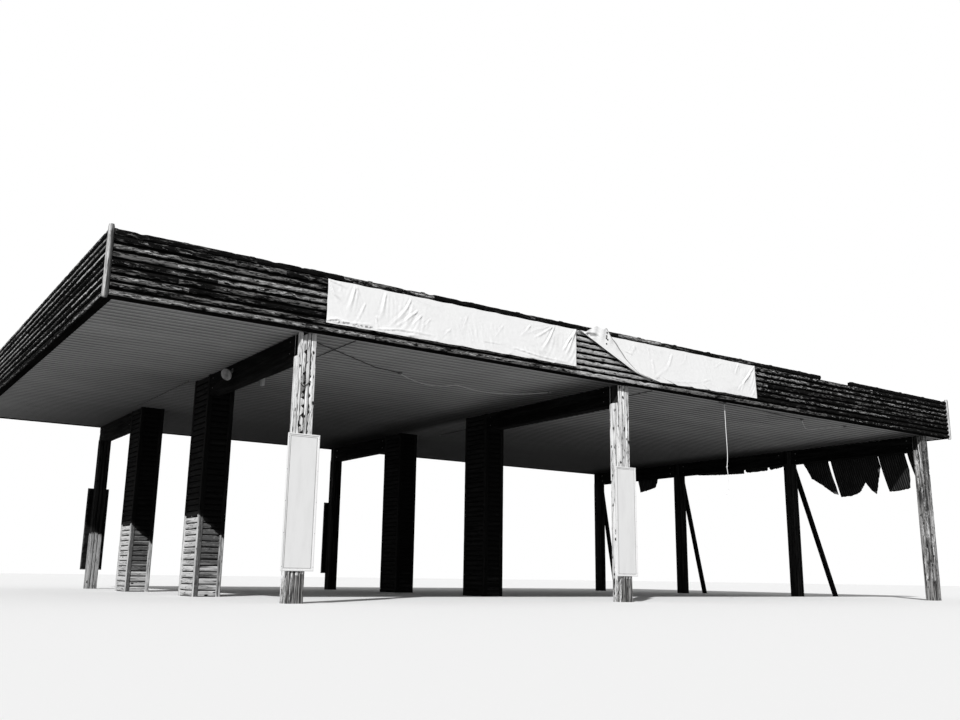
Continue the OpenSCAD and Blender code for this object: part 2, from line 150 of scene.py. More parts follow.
def addLoft(shape, place, length, step, section, wood=(0.5, 0.5), bend=None, skin=0):
    # Sweeps a closed section along a line. place is its start, then the directions along, out and up.
    # bend moves each point and says how open it lies, from 0 in a crevice to 1; the wood finishes paint shade
    # and highlight from it.
    start, along, out, up = place
    count, n = max(1, round(length / step)), len(section)
    girth = girthOf(section)
    uStart, vStart = shape["random"].uniform(0, 40), shape["random"].uniform(0, 40)
    first, firstFace = len(shape["points"]), len(shape["faces"])
    for i in range(count + 1):
        s = length * i / count
        tone, paint = wood(s) if callable(wood) else wood
        for k, (p, q) in enumerate(section):
            far, deep, high, bare = bend(s, p, q) if bend else (s, p, q, 1.0)
            point = start + along * far + out * deep + up * high
            addPoint(shape, point, (uStart + far, vStart + girth[k]), (tone, paint, bare))
    joinRings(shape, first, n, count, skin)
    lastV = vStart + girth[n]
    for i in range(count):
        # The face that closes a ring runs on to the end of the girth on the texture
        a, b = (shape["uvs"][first + ring * n + n - 1] for ring in (i, i + 1))
        shape["seams"][firstFace + i * n + n - 1] = [a, (a[0], lastV), (b[0], lastV), b]
    for end in (0, 1):
        shape["seams"][firstFace + count * n + end] = [(uStart + p, vStart + q) for p, q in section]


def addRing(shape, middle, side, other, radius, sides, far, wood=(0.5, 0.5)):
    for k in range(sides):
        a = 2 * math.pi * k / sides
        point = middle + (side * math.cos(a) + other * math.sin(a)) * radius
        addPoint(shape, point, (far, radius * a), (*wood, 1.0))


def addLathe(shape, middle, axis, side, profile, count=16, skin=0):
    # Turns a profile of (distance along the axis, radius) round a line
    first, other = len(shape["points"]), axis.cross(side)
    for along, radius in profile:
        addRing(shape, middle + axis * along, side, other, radius, count, along)
    joinRings(shape, first, count, len(profile) - 1, skin)


def addTube(shape, line, radius, sides=10, wood=(0.5, 0.5), skin=0):
    first, run = len(shape["points"]), 0.0
    for i, point in enumerate(line):
        run += (point - line[i - 1]).length if i else 0.0
        way = (line[min(i + 1, len(line) - 1)] - line[max(i - 1, 0)]).normalized()
        side = way.cross(east if abs(way.z) > 0.9 else skyward).normalized()
        addRing(shape, point, side, way.cross(side), radius, sides, run, wood)
    joinRings(shape, first, sides, len(line) - 1, skin)


def smoothRoute(points, steps):
    # A rounded line through the points
    line = []
    last = len(points) - 1
    for i in range(last):
        a, b, c, d = (points[min(max(i + k, 0), last)] for k in (-1, 0, 1, 2))
        for step in range(steps):
            t = step / steps
            line.append(0.5 * (
                2 * b + (c - a) * t + (2 * a - 5 * b + 4 * c - d) * t ** 2 + (3 * b - a - 3 * c + d) * t ** 3
            ))
    return line + [points[last]]


def boxSection(depth, width, chamfer=0.006):
    c = min(chamfer, depth / 3, width / 3)
    return [
        (0, c), (c, 0), (depth - c, 0), (depth, c), (depth, width - c), (depth - c, width),
        (c, width), (0, width - c),
    ]


def plankBend(seed, warp=0.004, rough=0.0015):
    # A sawn board bows a little and its faces aren't quite even
    def bend(s, p, q):
        bow = noise.noise((s * 0.35, seed, 3.1)) * warp
        dent = noise.noise((s * 4.3, q * 17 + seed, p * 17)) * rough
        return s, p + dent, q + bow + dent, 1.0
    return bend


def addPlank(shape, place, length, width, thick, wood=(0.5, 0.5), step=0.35, warp=0.004):
    bend = plankBend(shape["random"].uniform(0, 90), warp)
    addLoft(shape, place, length, step, boxSection(thick, width), wood, bend)


def finishShape(shape, name, materials, nodes=(), smooth=42, closed=True):
    mesh = bpy.data.meshes.new(name)
    mesh.from_pydata(shape["points"], [], shape["faces"])
    layer = mesh.uv_layers.new(name="UVMap")
    flat = []
    for index, face in enumerate(shape["faces"]):
        for corner in shape["seams"].get(index) or [shape["uvs"][p] for p in face]:
            flat.extend(corner)
    layer.data.foreach_set("uv", flat)
    marks = mesh.attributes.new("wood", "FLOAT_VECTOR", "POINT")
    marks.data.foreach_set("vector", [value for mark in shape["wood"] for value in mark])
    materials = materials if isinstance(materials, (list, tuple)) else [materials]
    for material in materials:
        mesh.materials.append(material)
    mesh.polygons.foreach_set("material_index", shape["skins"])
    if closed:
        work = bmesh.new()
        work.from_mesh(mesh)
        bmesh.ops.recalc_face_normals(work, faces=work.faces)
        work.to_mesh(mesh)
        work.free()
    mesh.shade_smooth()
    mesh.set_sharp_from_angle(angle=math.radians(smooth))
    piece = bpy.data.objects.new(name, mesh)
    bpy.context.scene.collection.objects.link(piece)
    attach(piece, "root")
    if nodes:
        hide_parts(*nodes)
    print("made", name, "with", len(mesh.polygons), "faces")
    return piece


# Node helpers for the finishes


def grey(value, warm=0.0):
    return (value * (1 + warm), value, value * (1 - warm), 1.0)


def openMaterial(name, fixed):
    material = bpy.data.materials.new(name)
    material.use_nodes = True
    tree = material.node_tree
    shader = tree.nodes["Principled BSDF"]
    for socket, value in fixed.items():
        shader.inputs[socket].default_value = value
    return material, tree, shader


def put(tree, kind, inputs, **settings):
    node = tree.nodes.new("ShaderNode" + kind)
    for word, value in settings.items():
        setattr(node, word, value)
    for word, value in inputs.items():
        if isinstance(value, bpy.types.NodeSocket):
            tree.links.new(value, node.inputs[word])
        else:
            node.inputs[word].default_value = value
    return node


def maths(tree, operation, a, b=0.0):
    return put(tree, "Math", {0: a, 1: b}, operation=operation).outputs[0]


def addUp(tree, *terms):
    # The sum of (value, weight) pairs
    total = None
    for value, weight in terms:
        part = value if weight == 1 else maths(tree, "MULTIPLY", value, weight)
        total = part if total is None else maths(tree, "ADD", total, part)
    return total


def stretch(tree, vector, scale):
    return put(tree, "VectorMath", {0: vector, 1: scale}, operation="MULTIPLY").outputs[0]


def noiseOf(tree, vector, scale, detail=4.0, rough=0.55, swirl=0.0):
    values = {"Vector": vector, "Scale": scale, "Detail": detail, "Roughness": rough, "Distortion": swirl}
    return put(tree, "TexNoise", values).outputs[0]


def remap(tree, value, low, high, toLow=0.0, toHigh=1.0):
    values = {0: value, 1: low, 2: high, 3: toLow, 4: toHigh}
    return put(tree, "MapRange", values, interpolation_type="SMOOTHSTEP").outputs[0]


def mixColour(tree, factor, a, b, mode="MIX"):
    return put(tree, "Mix", {0: factor, 6: a, 7: b}, data_type="RGBA", blend_type=mode).outputs[2]


def shadeBy(tree, colour, share):
    # Darkens a colour to a share of itself
    even = put(tree, "CombineColor", {0: share, 1: share, 2: share}).outputs[0]
    return mixColour(tree, 1.0, colour, even, "MULTIPLY")


def finishTree(tree, shader, colour, roughness=None, height=None, distance=0.003, strength=0.7):
    tree.links.new(colour, shader.inputs["Base Color"])
    if roughness is not None:
        tree.links.new(roughness, shader.inputs["Roughness"])
    if height is not None:
        bump = put(tree, "Bump", {"Strength": strength, "Distance": distance, "Height": height})
        tree.links.new(bump.outputs[0], shader.inputs["Normal"])


def textureSpace(tree):
    return put(tree, "UVMap", {}, uv_map="UVMap").outputs[0]


def objectSpace(tree):
    return put(tree, "TexCoord", {}).outputs["Object"]


def marksOf(tree):
    # A place's own marks: its tone, its paint and how open it lies, from which the wood finishes paint shade
    # and highlight
    marks = put(tree, "Attribute", {}, attribute_name="wood", attribute_type="GEOMETRY").outputs["Vector"]
    return put(tree, "SeparateXYZ", {0: marks}).outputs


def woodMaterial(name, look):
    # Old wood with grain, cracks and what is left of its paint, with painted shade in its crevices and
    # painted highlight where it lies open. U runs along the grain.
    material, tree, shader = openMaterial(name, {"Specular IOR Level": look["gloss"]})
    tone, paint, bare = marksOf(tree)
    lift = put(tree, "CombineXYZ", {2: maths(tree, "MULTIPLY", tone, 37.0)}).outputs[0]
    spot = put(tree, "VectorMath", {0: textureSpace(tree), 1: lift}, operation="ADD").outputs[0]

    def layer(along, across, detail=4.0, rough=0.6, swirl=0.0):
        return noiseOf(tree, stretch(tree, spot, (along, across, 1)), 1.0, detail, rough, swirl)

    grain = layer(*look["grain"], 5.0, 0.62, 0.3)
    blotch = layer(1.1, 6.0)
    streak = layer(*look["streak"], 6.0, 0.62, 0.5)
    lean, middle = addUp(tree, (streak, 0.5), (blotch, 0.3), (grain, 0.2), (tone, 0.16)), 0.58
    ramp = remap(tree, lean, middle - look["streakEdge"], middle + look["streakEdge"])
    wornColour = mixColour(tree, ramp, grey(look["dark"], 0.01), grey(look["mid"], 0.01))
    flake = layer(*look["flake"], 9.0, 0.68, 0.6)
    chip = layer(14.0, 60.0)
    # More pale coat where a place lies open: edge wear at slab edges, and painted highlight on the lit band
    # of a log
    cover = addUp(tree, (flake, 1), (chip, 0.28), (paint, 0.62), (bare, look["wearAndHighlight"]))
    coat = remap(tree, cover, 1.0 + look["wearAndHighlight"], 1.025 + look["wearAndHighlight"])
    dirtyCoat, cleanCoat = grey(look["paint"] * look["coatDark"]), grey(look["paint"])
    coatColour = mixColour(tree, remap(tree, lean, 0.46, 0.64), dirtyCoat, cleanCoat)
    fresh = maths(tree, "MULTIPLY", remap(tree, chip, 0.58, 0.66), look["fresh"])
    coatColour = mixColour(tree, fresh, coatColour, grey(0.78))
    colour = mixColour(tree, coat, wornColour, coatColour)
    crackField = layer(*look["crack"], 2.0, 0.5, 0.4)
    away = maths(tree, "ABSOLUTE", maths(tree, "SUBTRACT", crackField, 0.5))
    crack = remap(tree, away, 0.0, look["crackWidth"])
    colour = mixColour(tree, crack, grey(look["dark"] * 0.3), colour)
    knotSpot = stretch(tree, spot, (look["knots"], look["knots"] * look["knotSlim"], 1))
    knotField = put(tree, "TexVoronoi", {"Vector": knotSpot, "Scale": 1.0}).outputs["Distance"]
    ragged = maths(tree, "MULTIPLY", maths(tree, "SUBTRACT", chip, 0.5), 0.45)
    knot = remap(tree, maths(tree, "ADD", knotField, ragged), look["knotSize"] * 0.6, look["knotSize"])
    colour = mixColour(tree, knot, grey(look["dark"] * 0.4), colour)
    # Painted shade: crevices and the shaded parts of each log are darkened
    hollow = remap(tree, bare, 0.06, 0.62, look["creviceShade"], 1.0)
    colour = shadeBy(tree, colour, hollow)
    relief = addUp(tree, (grain, 0.4), (coat, 0.25), (crack, 0.5), (streak, 0.8))
    finishTree(tree, shader, colour, remap(tree, coat, 0.0, 1.0, 0.92, 0.65), relief, look["relief"], 0.9)
    return material


# Grain, streaks, flakes and cracks say how often they repeat in a metre, along the grain and across it
woodLooks = {
    "fasciaWood": {
        "dark": 0.006, "mid": 0.19, "paint": 0.5, "coatDark": 0.5, "fresh": 0.75, "grain": (5.0, 80.0),
        "streak": (6.0, 24.0), "streakEdge": 0.04, "flake": (6.0, 25.0), "wearAndHighlight": 0.3,
        "crack": (1.8, 34.0), "crackWidth": 0.024, "knots": 3.2, "knotSlim": 2.6, "knotSize": 0.23,
        "creviceShade": 0.0, "relief": 0.03, "gloss": 0.04,
    },
    "poleWood": {
        "dark": 0.2, "mid": 0.46, "paint": 0.6, "coatDark": 0.5, "fresh": 0.2, "grain": (1.6, 60.0),
        "streak": (1.4, 18.0), "streakEdge": 0.09, "flake": (0.9, 9.0), "wearAndHighlight": 0.0,
        "crack": (0.8, 22.0), "crackWidth": 0.03, "knots": 1.6, "knotSlim": 2.0, "knotSize": 0.12,
        "creviceShade": 0.3, "relief": 0.004, "gloss": 0.2,
    },
    "postWood": {
        "dark": 0.03, "mid": 0.3, "paint": 0.86, "coatDark": 0.42, "fresh": 0.4, "grain": (1.6, 70.0),
        "streak": (1.3, 26.0), "streakEdge": 0.06, "flake": (1.6, 20.0), "wearAndHighlight": 0.25,
        "crack": (1.0, 30.0), "crackWidth": 0.034, "knots": 5.0, "knotSlim": 1.5, "knotSize": 0.22,
        "creviceShade": 0.0, "relief": 0.012, "gloss": 0.1,
    },
    # A darker copy of the post wood for the posts that stand in shade: painted shade
    "shadePostWood": {
        "dark": 0.008, "mid": 0.03, "paint": 0.36, "coatDark": 0.5, "fresh": 0.3, "grain": (1.6, 65.0),
        "streak": (1.1, 20.0), "streakEdge": 0.07, "flake": (1.2, 15.0), "wearAndHighlight": 0.2,
        "crack": (0.9, 26.0), "crackWidth": 0.02, "knots": 3.0, "knotSlim": 1.5, "knotSize": 0.14,
        "creviceShade": 0.1, "relief": 0.006, "gloss": 0.03,
    },
    # Near-black wood under a pale coat that is laid on only where the sun falls: the dark is painted shade
    "sidingWood": {
        "dark": 0.007, "mid": 0.02, "paint": 0.56, "coatDark": 0.16, "fresh": 0.2, "grain": (2.4, 70.0),
        "streak": (1.6, 22.0), "streakEdge": 0.1, "flake": (2.6, 14.0), "wearAndHighlight": 0.1,
        "crack": (1.1, 24.0), "crackWidth": 0.024, "knots": 2.6, "knotSlim": 2.2, "knotSize": 0.13,
        "creviceShade": 0.03, "relief": 0.004, "gloss": 0.03,
    },
    # Dark stain made near black: partly painted shade under the roof
    "beamWood": {
        "dark": 0.004, "mid": 0.016, "paint": 0.08, "coatDark": 0.5, "fresh": 0.0, "grain": (1.6, 55.0),
        "streak": (1.0, 12.0), "streakEdge": 0.1, "flake": (1.2, 7.0), "wearAndHighlight": 0.0,
        "crack": (0.7, 16.0), "crackWidth": 0.02, "knots": 1.2, "knotSlim": 3.2, "knotSize": 0.12,
        "creviceShade": 1.0, "relief": 0.004, "gloss": 0.03,
    },
}
finish = {name: woodMaterial(name, look) for name, look in woodLooks.items()}


def ceilingMaterial():
    # Dulled paint on ribbed metal, streaked along the ribs and smudged, with painted highlight on the low
    # ribs and painted shade deeper in and beside the beams
    material, tree, shader = openMaterial("ceilingPaint", {"Specular IOR Level": 0.1})
    spot = objectSpace(tree)
    streak = noiseOf(tree, stretch(tree, spot, (0.5, 9.0, 1)), 1.0, 5.0, 0.6)
    smudge = noiseOf(tree, stretch(tree, spot, (0.35, 0.5, 1)), 1.0, 5.0, 0.62, 0.8)
    lean = addUp(tree, (streak, 0.45), (smudge, 0.75))
    colour = mixColour(tree, remap(tree, lean, 0.42, 0.8), grey(0.19), grey(0.33))
    speck = remap(tree, noiseOf(tree, spot, 5.0, 6.0, 0.7), 0.67, 0.72)
    colour = mixColour(tree, maths(tree, "MULTIPLY", speck, 0.5), colour, grey(0.06))
    # Painted highlight on the low ribs, then painted shade from the first mark
    clean, _, ribShare = marksOf(tree)
    colour = mixColour(tree, maths(tree, "MULTIPLY", ribShare, 0.8), colour, grey(0.7))
    colour = shadeBy(tree, colour, clean)
    rough = remap(tree, smudge, 0.3, 0.7, 0.45, 0.65)
    finishTree(tree, shader, colour, rough, noiseOf(tree, spot, 3.0, 3.0), 0.004, 0.25)
    return material


def feltMaterial():
    # Mineral felt: fine granules, dusty patches and darker laps
    material, tree, shader = openMaterial("roofFelt", {"Specular IOR Level": 0.25})
    spot = objectSpace(tree)
    granule = noiseOf(tree, spot, 160.0, 2.0, 0.7)
    dust = noiseOf(tree, stretch(tree, spot, (0.9, 1.3, 1)), 1.0, 8.0, 0.74, 0.3)
    puddle = remap(tree, noiseOf(tree, spot, 0.28, 3.0, 0.5), 0.55, 0.62)
    colour = mixColour(tree, remap(tree, dust, 0.3, 0.7), grey(0.09), grey(0.2))
    colour = mixColour(tree, maths(tree, "MULTIPLY", puddle, 0.15), colour, grey(0.28))
    between = mixColour(tree, 1.0, colour, grey(0.55), "MULTIPLY")
    colour = mixColour(tree, remap(tree, granule, 0.35, 0.65), between, colour)
    tone, _, bare = marksOf(tree)
    lap = remap(tree, bare, 0.0, 0.9, 0.3, 1.0)
    colour = shadeBy(tree, colour, maths(tree, "MULTIPLY", lap, remap(tree, tone, 0.0, 1.0, 0.6, 1.15)))
    height = addUp(tree, (granule, 0.3), (dust, 1))
    finishTree(tree, shader, colour, remap(tree, dust, 0.3, 0.7, 0.95, 0.8), height, 0.004, 0.6)
    return material


def boardMaterial():
    # A painted panel: clean in the middle, with rust and dirt creeping in from its rim
    material, tree, shader = openMaterial("boardPaint", {"Roughness": 0.45})
    spot = objectSpace(tree)
    rim = marksOf(tree)[1]
    film = noiseOf(tree, stretch(tree, spot, (6.0, 6.0, 1.4)), 1.0, 5.0, 0.6)
    fleck = noiseOf(tree, spot, 38.0, 5.0, 0.7)
    colour = mixColour(tree, remap(tree, film, 0.4, 0.75), grey(0.75), grey(0.7))
    worn = remap(tree, addUp(tree, (fleck, 1), (rim, 0.05)), 0.67, 0.75)
    colour = mixColour(tree, worn, colour, grey(0.24))
    pitted = maths(tree, "MULTIPLY", worn, -1.0)
    finishTree(tree, shader, colour, remap(tree, film, 0.3, 0.7, 0.4, 0.6), pitted, 0.001, 0.6)
    return material


def clothMaterial():
    # Woven cloth, bleached, with painted shade in its folds, its pocket and its rolled edge, painted shadow
    # in dashes under its lower hem, and a dark hem on the loose flap
    fixed = {"Roughness": 0.8, "Sheen Weight": 0.15, "Sheen Roughness": 0.5}
    material, tree, shader = openMaterial("bannerCloth", fixed)
    place = textureSpace(tree)
    parts = put(tree, "SeparateXYZ", {0: stretch(tree, place, (1500.0, 1500.0, 0))}).outputs
    weave = maths(tree, "MULTIPLY", maths(tree, "SINE", parts[0]), maths(tree, "SINE", parts[1]))
    stain = noiseOf(tree, stretch(tree, place, (1.1, 2.2, 1)), 1.0, 6.0, 0.65, 0.9)
    colour = mixColour(tree, remap(tree, stain, 0.5, 0.75), grey(0.84), grey(0.74))
    # Painted shade and the dark hem from the first mark
    colour = mixColour(tree, marksOf(tree)[0], colour, grey(0.03))
    height = addUp(tree, (weave, 0.12), (noiseOf(tree, place, 24.0, 4.0, 0.6), 1))
    finishTree(tree, shader, colour, None, height, 0.003, 0.35)
    return material


def rustFields(tree):
    # Blooms of rust and the streaks that run down from them
    spot = objectSpace(tree)
    bloom = noiseOf(tree, spot, 3.0, 8.0, 0.68, 0.5)
    return bloom, noiseOf(tree, stretch(tree, spot, (14.0, 14.0, 1.2)), 1.0, 4.0, 0.6)


def metalMaterial(name, dark, light):
    # Weathered sheet or cast metal with blooms of rust
    material, tree, shader = openMaterial(name, {"Specular IOR Level": 0.5})
    bloom, streak = rustFields(tree)
    lean = addUp(tree, (bloom, 0.6), (streak, 0.5))
    colour = mixColour(tree, remap(tree, lean, 0.4, 0.72), grey(dark), grey(light))
    finishTree(tree, shader, colour, remap(tree, bloom, 0.3, 0.7, 0.4, 0.75), bloom, 0.002, 0.4)
    return material


def tornMaterial():
    # Corrugated metal gone dark, with painted highlight on its crests and on its bent tips
    material, tree, shader = openMaterial("tornMetal", {"Specular IOR Level": 0.1})
    crest, tipHighlight, _ = marksOf(tree)
    bloom, streak = rustFields(tree)
    lean = addUp(tree, (bloom, 0.5), (streak, 0.3), (crest, 0.3))
    colour = mixColour(tree, remap(tree, lean, 0.45, 0.78), grey(0.005), grey(0.06))
    colour = mixColour(tree, tipHighlight, colour, grey(0.8))
    finishTree(tree, shader, colour, remap(tree, bloom, 0.3, 0.7, 0.5, 0.8), bloom, 0.002, 0.4)
    return material


def sheathMaterial(name, dark, light):
    # A cord's sheath: sun-bleached, with scuffs along it
    material, tree, shader = openMaterial(name, {"Roughness": 0.55})
    place = textureSpace(tree)
    scuff = noiseOf(tree, stretch(tree, place, (9.0, 60.0, 1)), 1.0, 4.0, 0.6)
    colour = mixColour(tree, remap(tree, scuff, 0.35, 0.7), grey(dark), grey(light))
    finishTree(tree, shader, colour, None, scuff, 0.0006, 0.5)
    return material


def jarMaterial():
    # Frosted glass jar, dusty inside
    fixed = {"Roughness": 0.35, "Transmission Weight": 0.25, "IOR": 1.45}
    material, tree, shader = openMaterial("frostedJar", fixed)
    dust = noiseOf(tree, objectSpace(tree), 30.0, 4.0, 0.6)
    finishTree(tree, shader, mixColour(tree, dust, grey(0.5), grey(0.8)), None, dust, 0.0008, 0.3)
    return material


finish.update({
    "ceilingPaint": ceilingMaterial(), "roofFelt": feltMaterial(), "boardPaint": boardMaterial(),
    "bannerCloth": clothMaterial(), "tornMetal": tornMaterial(), "frostedJar": jarMaterial(),
    "lampEnamel": metalMaterial("lampEnamel", 0.12, 0.42),
    "steelPlate": metalMaterial("steelPlate", 0.05, 0.2),
    "paleCord": sheathMaterial("paleCord", 0.82, 0.92),
    "darkConduit": sheathMaterial("darkConduit", 0.02, 0.07),
})
print("finishes ready:", len(finish))

# Cords. Their routes are given in millimetres from where each one leaves the ceiling.
cords = {
    "hanging_cord": {
        "start": (14800, 260), "diameter": 0.014, "farEnd": "bare", "lay": "hanging",
        "route": [
            (0, 0, 0), (0, 0, -60), (4, 0, -180), (10, 1, -400), (16, 2, -640), (24, 2, -880),
            (30, 0, -1120), (28, 0, -1340), (12, 2, -1500), (0, 4, -1600), (14, 2, -1720),
            (34, 0, -1880), (44, 0, -2020), (26, 2, -2120), (-20, 4, -2190), (-60, 4, -2250),
        ],
    },
    "left_slack_wire": {
        "start": (6700, 2200), "diameter": 0.01, "farEnd": "object", "lay": "hanging",
        "route": [
            (0, 0, 0), (40, 6, -28), (200, 40, -70), (440, 110, -105), (720, 190, -122),
            (1020, 260, -112), (1340, 300, -78), (1560, 306, -30), (1660, 300, -14), (1760, 290, -26),
            (2020, 240, -74), (2340, 160, -108), (2680, 50, -120), (3020, -60, -112),
            (3360, -180, -84), (3640, -270, -44), (3820, -330, -22), (3860, -342, 0),
        ],
    },
    "right_slack_wire": {
        "start": (18240, 560), "diameter": 0.01, "farEnd": "object", "lay": "hanging",
        "route": [
            (0, 0, 0), (20, 10, -26), (140, 90, -66), (360, 220, -104), (620, 380, -124),
            (900, 520, -120), (1180, 590, -96), (1420, 560, -64), (1620, 440, -36), (1760, 280, -14),
            (1840, 140, -22), (1880, 20, -16), (1890, -20, 0),
        ],
    },
}


def makeKnot(cord, line, dropped):
    # An overhand knot: a small tight loop of the same cord round itself
    middle = next(point for point in line if point.z < ceilingZ - dropped)
    turns, radius, tall = 1.6, cord["diameter"] * 0.85, cord["diameter"] * 2.2
    loop = []
    for i in range(34):
        t = i / 33
        a = 2 * math.pi * turns * t
        loop.append(middle + Vector((radius * math.cos(a), radius * math.sin(a), tall * (t - 0.5))))
    shape = newShape(5)
    addTube(shape, loop, cord["diameter"] * 0.5, 8)
    return finishShape(shape, "hanging_cord_knot", finish["paleCord"])


def makeCord(name, cord):
    start = at(cord["start"][0] / 1000, cord["start"][1] / 1000, ceilingZ)
    points = [start + Vector(step) / 1000 for step in cord["route"]]
    line = smoothRoute(points, 4)
    shape = newShape(3)
    addTube(shape, line, cord["diameter"] / 2, 10)
    piece = finishShape(shape, name + "_sheath", finish["paleCord"], (name,), smooth=80)
    knots = [makeKnot(cord, line, 1.57)] if name == "hanging_cord" else []


for cordName, cordLook in cords.items():
    makeCord(cordName, cordLook)

# Light: one low lamp from the left, a little in front, and a plain pale room
light = {
    "towards": (-1.15, -1.0, 1.0), "strength": 4.2, "angle": 1.2,  # degrees
    "fill": 0.3, "floorSize": 320.0, "floorPale": 0.86, "floorBounce": 0.3,
}


def makeLight(look):
    data = bpy.data.lights.new("keyLamp", "SUN")
    data.energy, data.angle = look["strength"], math.radians(look["angle"])
    lamp = bpy.data.objects.new("keyLamp", data)
    lamp.rotation_mode = "QUATERNION"
    lamp.rotation_quaternion = Vector(look["towards"]).to_track_quat("Z", "Y")
    bpy.context.scene.collection.objects.link(lamp)
    world = bpy.data.worlds.new("paleRoom")
    bpy.context.scene.world = world
    world.use_nodes = True
    tree = world.node_tree
    path = put(tree, "LightPath", {}).outputs
    mirrored = maths(tree, "MAXIMUM", path["Is Glossy Ray"], path["Is Transmission Ray"])
    seen = maths(tree, "MAXIMUM", path["Is Camera Ray"], mirrored)
    strength = put(tree, "MapRange", {0: seen, 3: look["fill"], 4: 1.0}).outputs[0]
    sky = tree.nodes["Background"]
    sky.inputs["Color"].default_value = (1, 1, 1, 1)
    tree.links.new(strength, sky.inputs["Strength"])


def makeFloor(look):
    mesh = bpy.data.meshes.new("floor")
    half = look["floorSize"] / 2
    corners = [(-half, -half, 0), (half, -half, 0), (half, half, 0), (-half, half, 0)]
    mesh.from_pydata(corners, [], [(0, 1, 2, 3)])
    floor = bpy.data.objects.new("floor", mesh)
    bpy.context.scene.collection.objects.link(floor)
    material, tree, shader = openMaterial("paleFloor", {"Roughness": 0.9, "Specular IOR Level": 0.1})
    seen = put(tree, "LightPath", {}).outputs["Is Camera Ray"]
    colour = mixColour(tree, seen, grey(look["floorBounce"]), grey(look["floorPale"]))
    tree.links.new(colour, shader.inputs["Base Color"])
    mesh.materials.append(material)
    floor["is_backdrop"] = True


makeLight(light)
makeFloor(light)
bpy.context.scene.view_settings.view_transform = "Standard"
print("camera, light and floor set")

# Fascia: nine courses of half-round logs on each side
fascia = {
    "courses": 9, "gap": 0.003, "thick": 0.065, "logLength": 5.2, "arcPoints": 9,
    "gapStart": 18.43, "gapLength": 1.34,  # the opening in the front's top course
    "shortest": 0.12, "endClear": 0.3,  # the shortest log, and how far joints keep from the corners
    "thinnest": 0.82,  # as a share of the thickness
    "lately": (9.8, 12.5, 0.44),  # where the loose banner hung until lately, and the extra paint there
    # Paint on the front: how many logs are worn, what worn and other logs kept, and where more was lost
    "wornShare": 0.45, "wornPaint": (0.3, 0.46), "keptPaint": (0.56, 0.74), "lostFrom": (13.0, 18.0),
    # Where the logs of each course meet on the front, from the left end, lowest course first
    "frontJoints": [
        (2.53, 4.89, 9.77, 14.2, 18.6, 22.1), (6.1, 11.0, 15.4, 20.3), (1.37, 5.6, 10.9, 16.9, 21.5),
        (1.19, 2.5, 7.9, 12.8, 17.6, 22.6), (1.85, 6.8, 11.9, 16.2, 19.9), (1.15, 5.2, 10.2, 15.8, 21.1),
        (1.21, 4.6, 8.8, 13.5, 17.9, 23.0), (3.07, 7.0, 10.6, 16.4, 20.8),
        (4.2, 6.17, 7.36, 11.07, 12.42, 16.1, 22.4),
    ],
    # Logs on the front that kept more paint: course, a place along it, tone and paint
    "paleLogs": [
        (0, 1.0, 0.8, 0.6), (0, 3.5, 0.6, 0.6), (0, 7.0, 0.6, 0.56), (0, 12.0, 0.5, 0.5),
        (0, 16.0, 0.5, 0.45), (1, 3.0, 0.5, 0.42), (1, 8.0, 0.5, 0.5), (1, 13.0, 0.6, 0.55),
        (5, 3.0, 0.75, 0.66), (5, 7.0, 0.5, 0.5), (6, 0.5, 0.6, 0.6), (6, 3.0, 0.45, 0.5),
        (7, 1.5, 0.3, 0.45), (3, 1.8, 0.5, 0.42), (3, 10.5, 0.8, 0.62), (4, 10.8, 0.8, 0.62),
        (5, 11.0, 0.7, 0.6), (2, 10.0, 0.7, 0.56), (6, 11.0, 0.75, 0.6), (7, 10.8, 0.4, 0.4),
        (8, 4.8, 0.5, 0.55), (8, 12.0, 0.5, 0.62), (8, 1.5, 0.1, 0.2), (8, 9.0, 0.1, 0.16),
        (8, 14.0, 0.1, 0.2),
    ],
}
coursePitch = (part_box("front_logs")[1].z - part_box("front_logs")[0].z + fascia["gap"]) / fascia["courses"]
pole = {
    "diameter": 0.106, "sides": 18, "step": 0.04,
    "lumps": 0.09, "roundTop": 0.22, "roundedOver": 0.03,
}


def halfRound(width, thick, count, flat=1.0):
    # Half-round outline from its lower edge to its upper edge
    section = []
    for k in range(count):
        a = math.pi * (k / (count - 1) - 0.5)
        section.append((thick * max(math.cos(a), 0.0) ** flat, width / 2 * (1 + math.sin(a))))
    return section


def smooth(value, low, high):
    t = max(0.0, min(1.0, (value - low) / (high - low)))
    return t * t * (3 - 2 * t)


logLook = {
    "wane": 0.2, "swell": 0.2, "fine": 0.22,  # how far edges and thickness wander, as shares
    "knots": 1.2, "tears": 1.6,  # how many there are in a metre
    "knotSize": (0.025, 0.05), "tearSize": (0.02, 0.1), "notchSize": 0.028,
    "knotRise": (0.2, 0.25, -0.3), "mostLost": 0.38,  # shares of the thickness and the width
}


